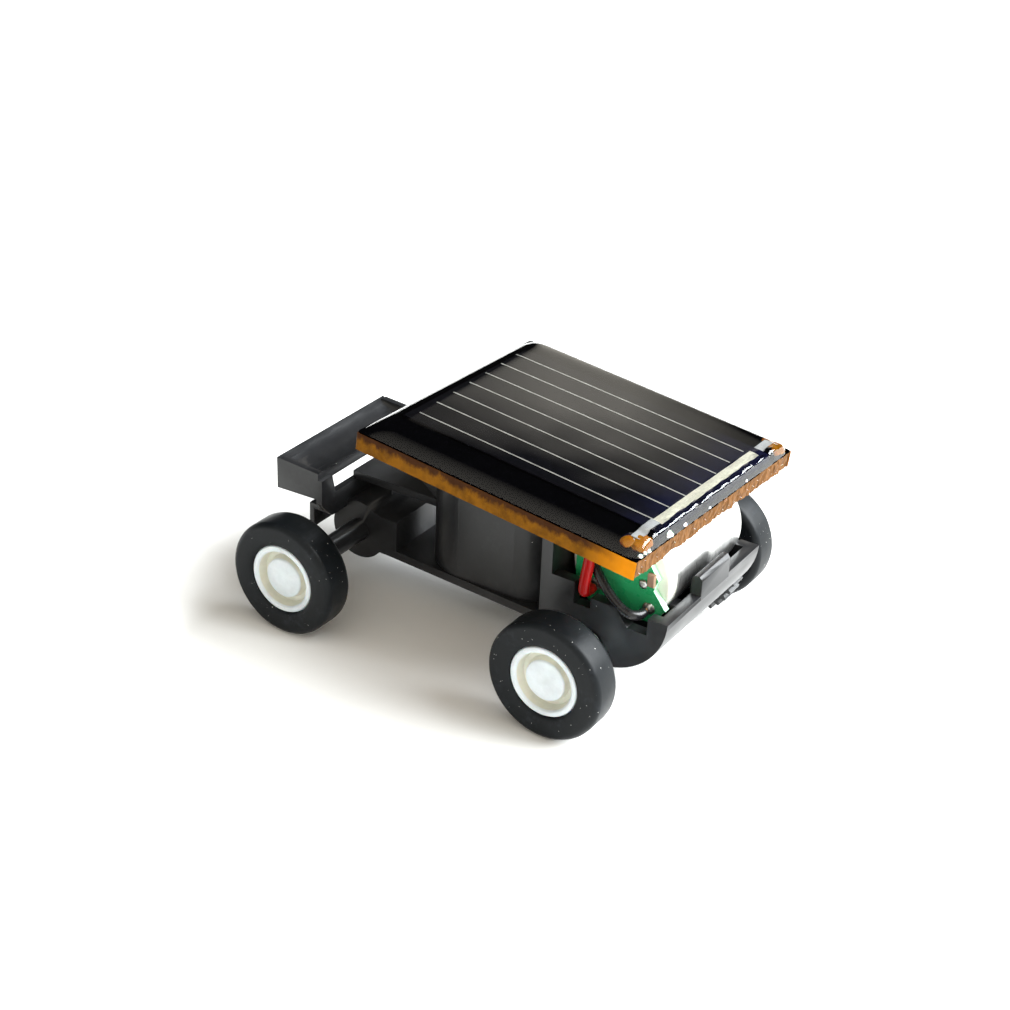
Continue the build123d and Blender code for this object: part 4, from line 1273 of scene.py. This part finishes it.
@dataclass
class Studio:
    """Pale floor, soft lamp, the room's light and the camera."""

    camera_mm: tuple[float, float, float] = (-56.09, 90.809, 66.056)
    yaw: float = 122.032
    pitch: float = 28.78
    roll: float = 2.41
    lens: float = 69.98
    floor_size: float = 3.0
    floor_colour: Colour = (0.9, 0.895, 0.885)
    air: Colour = (1.0, 0.95, 0.84)
    air_from: tuple[float, float, float] = (-0.5, 0.75, 0.43)
    air_strength: float = 1.2
    backdrop_top: tuple[float, float] = (0.472, 0.522)
    backdrop_right: tuple[float, float] = (-0.2, -0.11)
    backdrop_left: tuple[float, float] = (-0.07, 0.02)
    backdrop_across: tuple[float, float, float] = (0.866, 0.5, 0.0)
    glow_span: tuple[float, float, float, float] = (0.12, 0.78, 0.006, 1.0)
    aim: tuple[float, float, float] = (0.0, 0.0, 0.008)

    def build_camera(self) -> None:
        """Makes the camera and sets it as the scene's."""
        turn, rise, tilt = (math.radians(angle) for angle in (self.yaw, self.pitch, self.roll))
        back = Vector((math.cos(turn) * math.cos(rise), math.sin(turn) * math.cos(rise), math.sin(rise)))
        level = Vector((0, 0, 1)).cross(back).normalized()
        upright = back.cross(level)
        right = math.cos(tilt) * level + math.sin(tilt) * upright
        upward = -math.sin(tilt) * level + math.cos(tilt) * upright
        data = bpy.data.cameras.new("camera")
        data.lens = self.lens
        data.sensor_width = 36.0
        data.clip_start = 0.005
        data.clip_end = 20.0
        camera = stand("camera", data)
        pose = Matrix((right, upward, back)).transposed().to_4x4()
        pose.translation = Vector(self.camera_mm) * MM
        camera.matrix_world = pose
        bpy.context.scene.camera = camera

    def build_floor(self) -> None:
        """Makes the plain pale floor."""
        bm = bmesh.new()
        bmesh.ops.create_grid(bm, x_segments=1, y_segments=1, size=self.floor_size / 2)
        mesh = bpy.data.meshes.new("floor")
        bm.to_mesh(mesh)
        bm.free()
        material, pen, shader = new_material("pale paper")
        fibre = pen.noise(pen.place(), 900.0, 3.0)
        tone = pen.mix(fibre, rgba(self.floor_colour, 0.985), rgba(self.floor_colour, 1.01))
        pen.feed(shader, {"Base Color": tone, "Roughness": 0.9, "Specular IOR Level": 0.2})
        mesh.materials.append(material)
        stand("floor", mesh)

    def build_air(self) -> None:
        """Makes the soft warm light of the room, bright on one side and dark on the other."""
        world = bpy.data.worlds.new("air")
        bpy.context.scene.world = world
        world.use_nodes = True
        pen = Pen(world.node_tree)
        direction = pen.put("TexCoord").outputs["Generated"]
        towards = pen.put("VectorMath", {0: direction, 1: self.air_from}, operation="DOT_PRODUCT")
        glow = pen.span(towards.outputs["Value"], *self.glow_span)
        height = pen.put("SeparateXYZ", {0: direction}).outputs[2]
        across = pen.put("VectorMath", {0: direction, 1: self.backdrop_across}, operation="DOT_PRODUCT")
        low = pen.span(height, *self.backdrop_top, 1.0, 0.0)
        right = pen.span(across.outputs["Value"], *self.backdrop_right)
        left = pen.span(across.outputs["Value"], *self.backdrop_left, 1.0, 0.0)
        screen = pen.maths("MULTIPLY", low, pen.maths("MULTIPLY", right, left))
        lit = pen.mix(pen.maths("MAXIMUM", glow, screen), rgba((0.0, 0.0, 0.0)), rgba(self.air))
        background = world.node_tree.nodes["Background"]
        pen.feed(background, {"Color": lit, "Strength": self.air_strength})

    def build(self) -> None:
        """Makes everything round the car."""
        self.build_camera()
        self.build_floor()
        self.build_air()
        Softbox().build(self.aim)
        bpy.context.scene.view_settings.view_transform = "Standard"


def main() -> None:
    """Builds the car's looks and its studio in order."""
    logging.basicConfig(level=logging.INFO, format="%(name)s: %(message)s")
    for stray in list(bpy.data.objects):
        bpy.data.objects.remove(stray)
    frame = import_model()
    Studio().build()
    paint = Paint()
    place = PanelPlace()
    for assembly in (
        ChassisMoulding(paint),
        Wheels(paint),
        MotorUnit(paint),
        SolarPanel(paint, place),
        Leads(paint, place),
    ):
        assembly.build(frame)


if __name__ == "__main__":
    main()
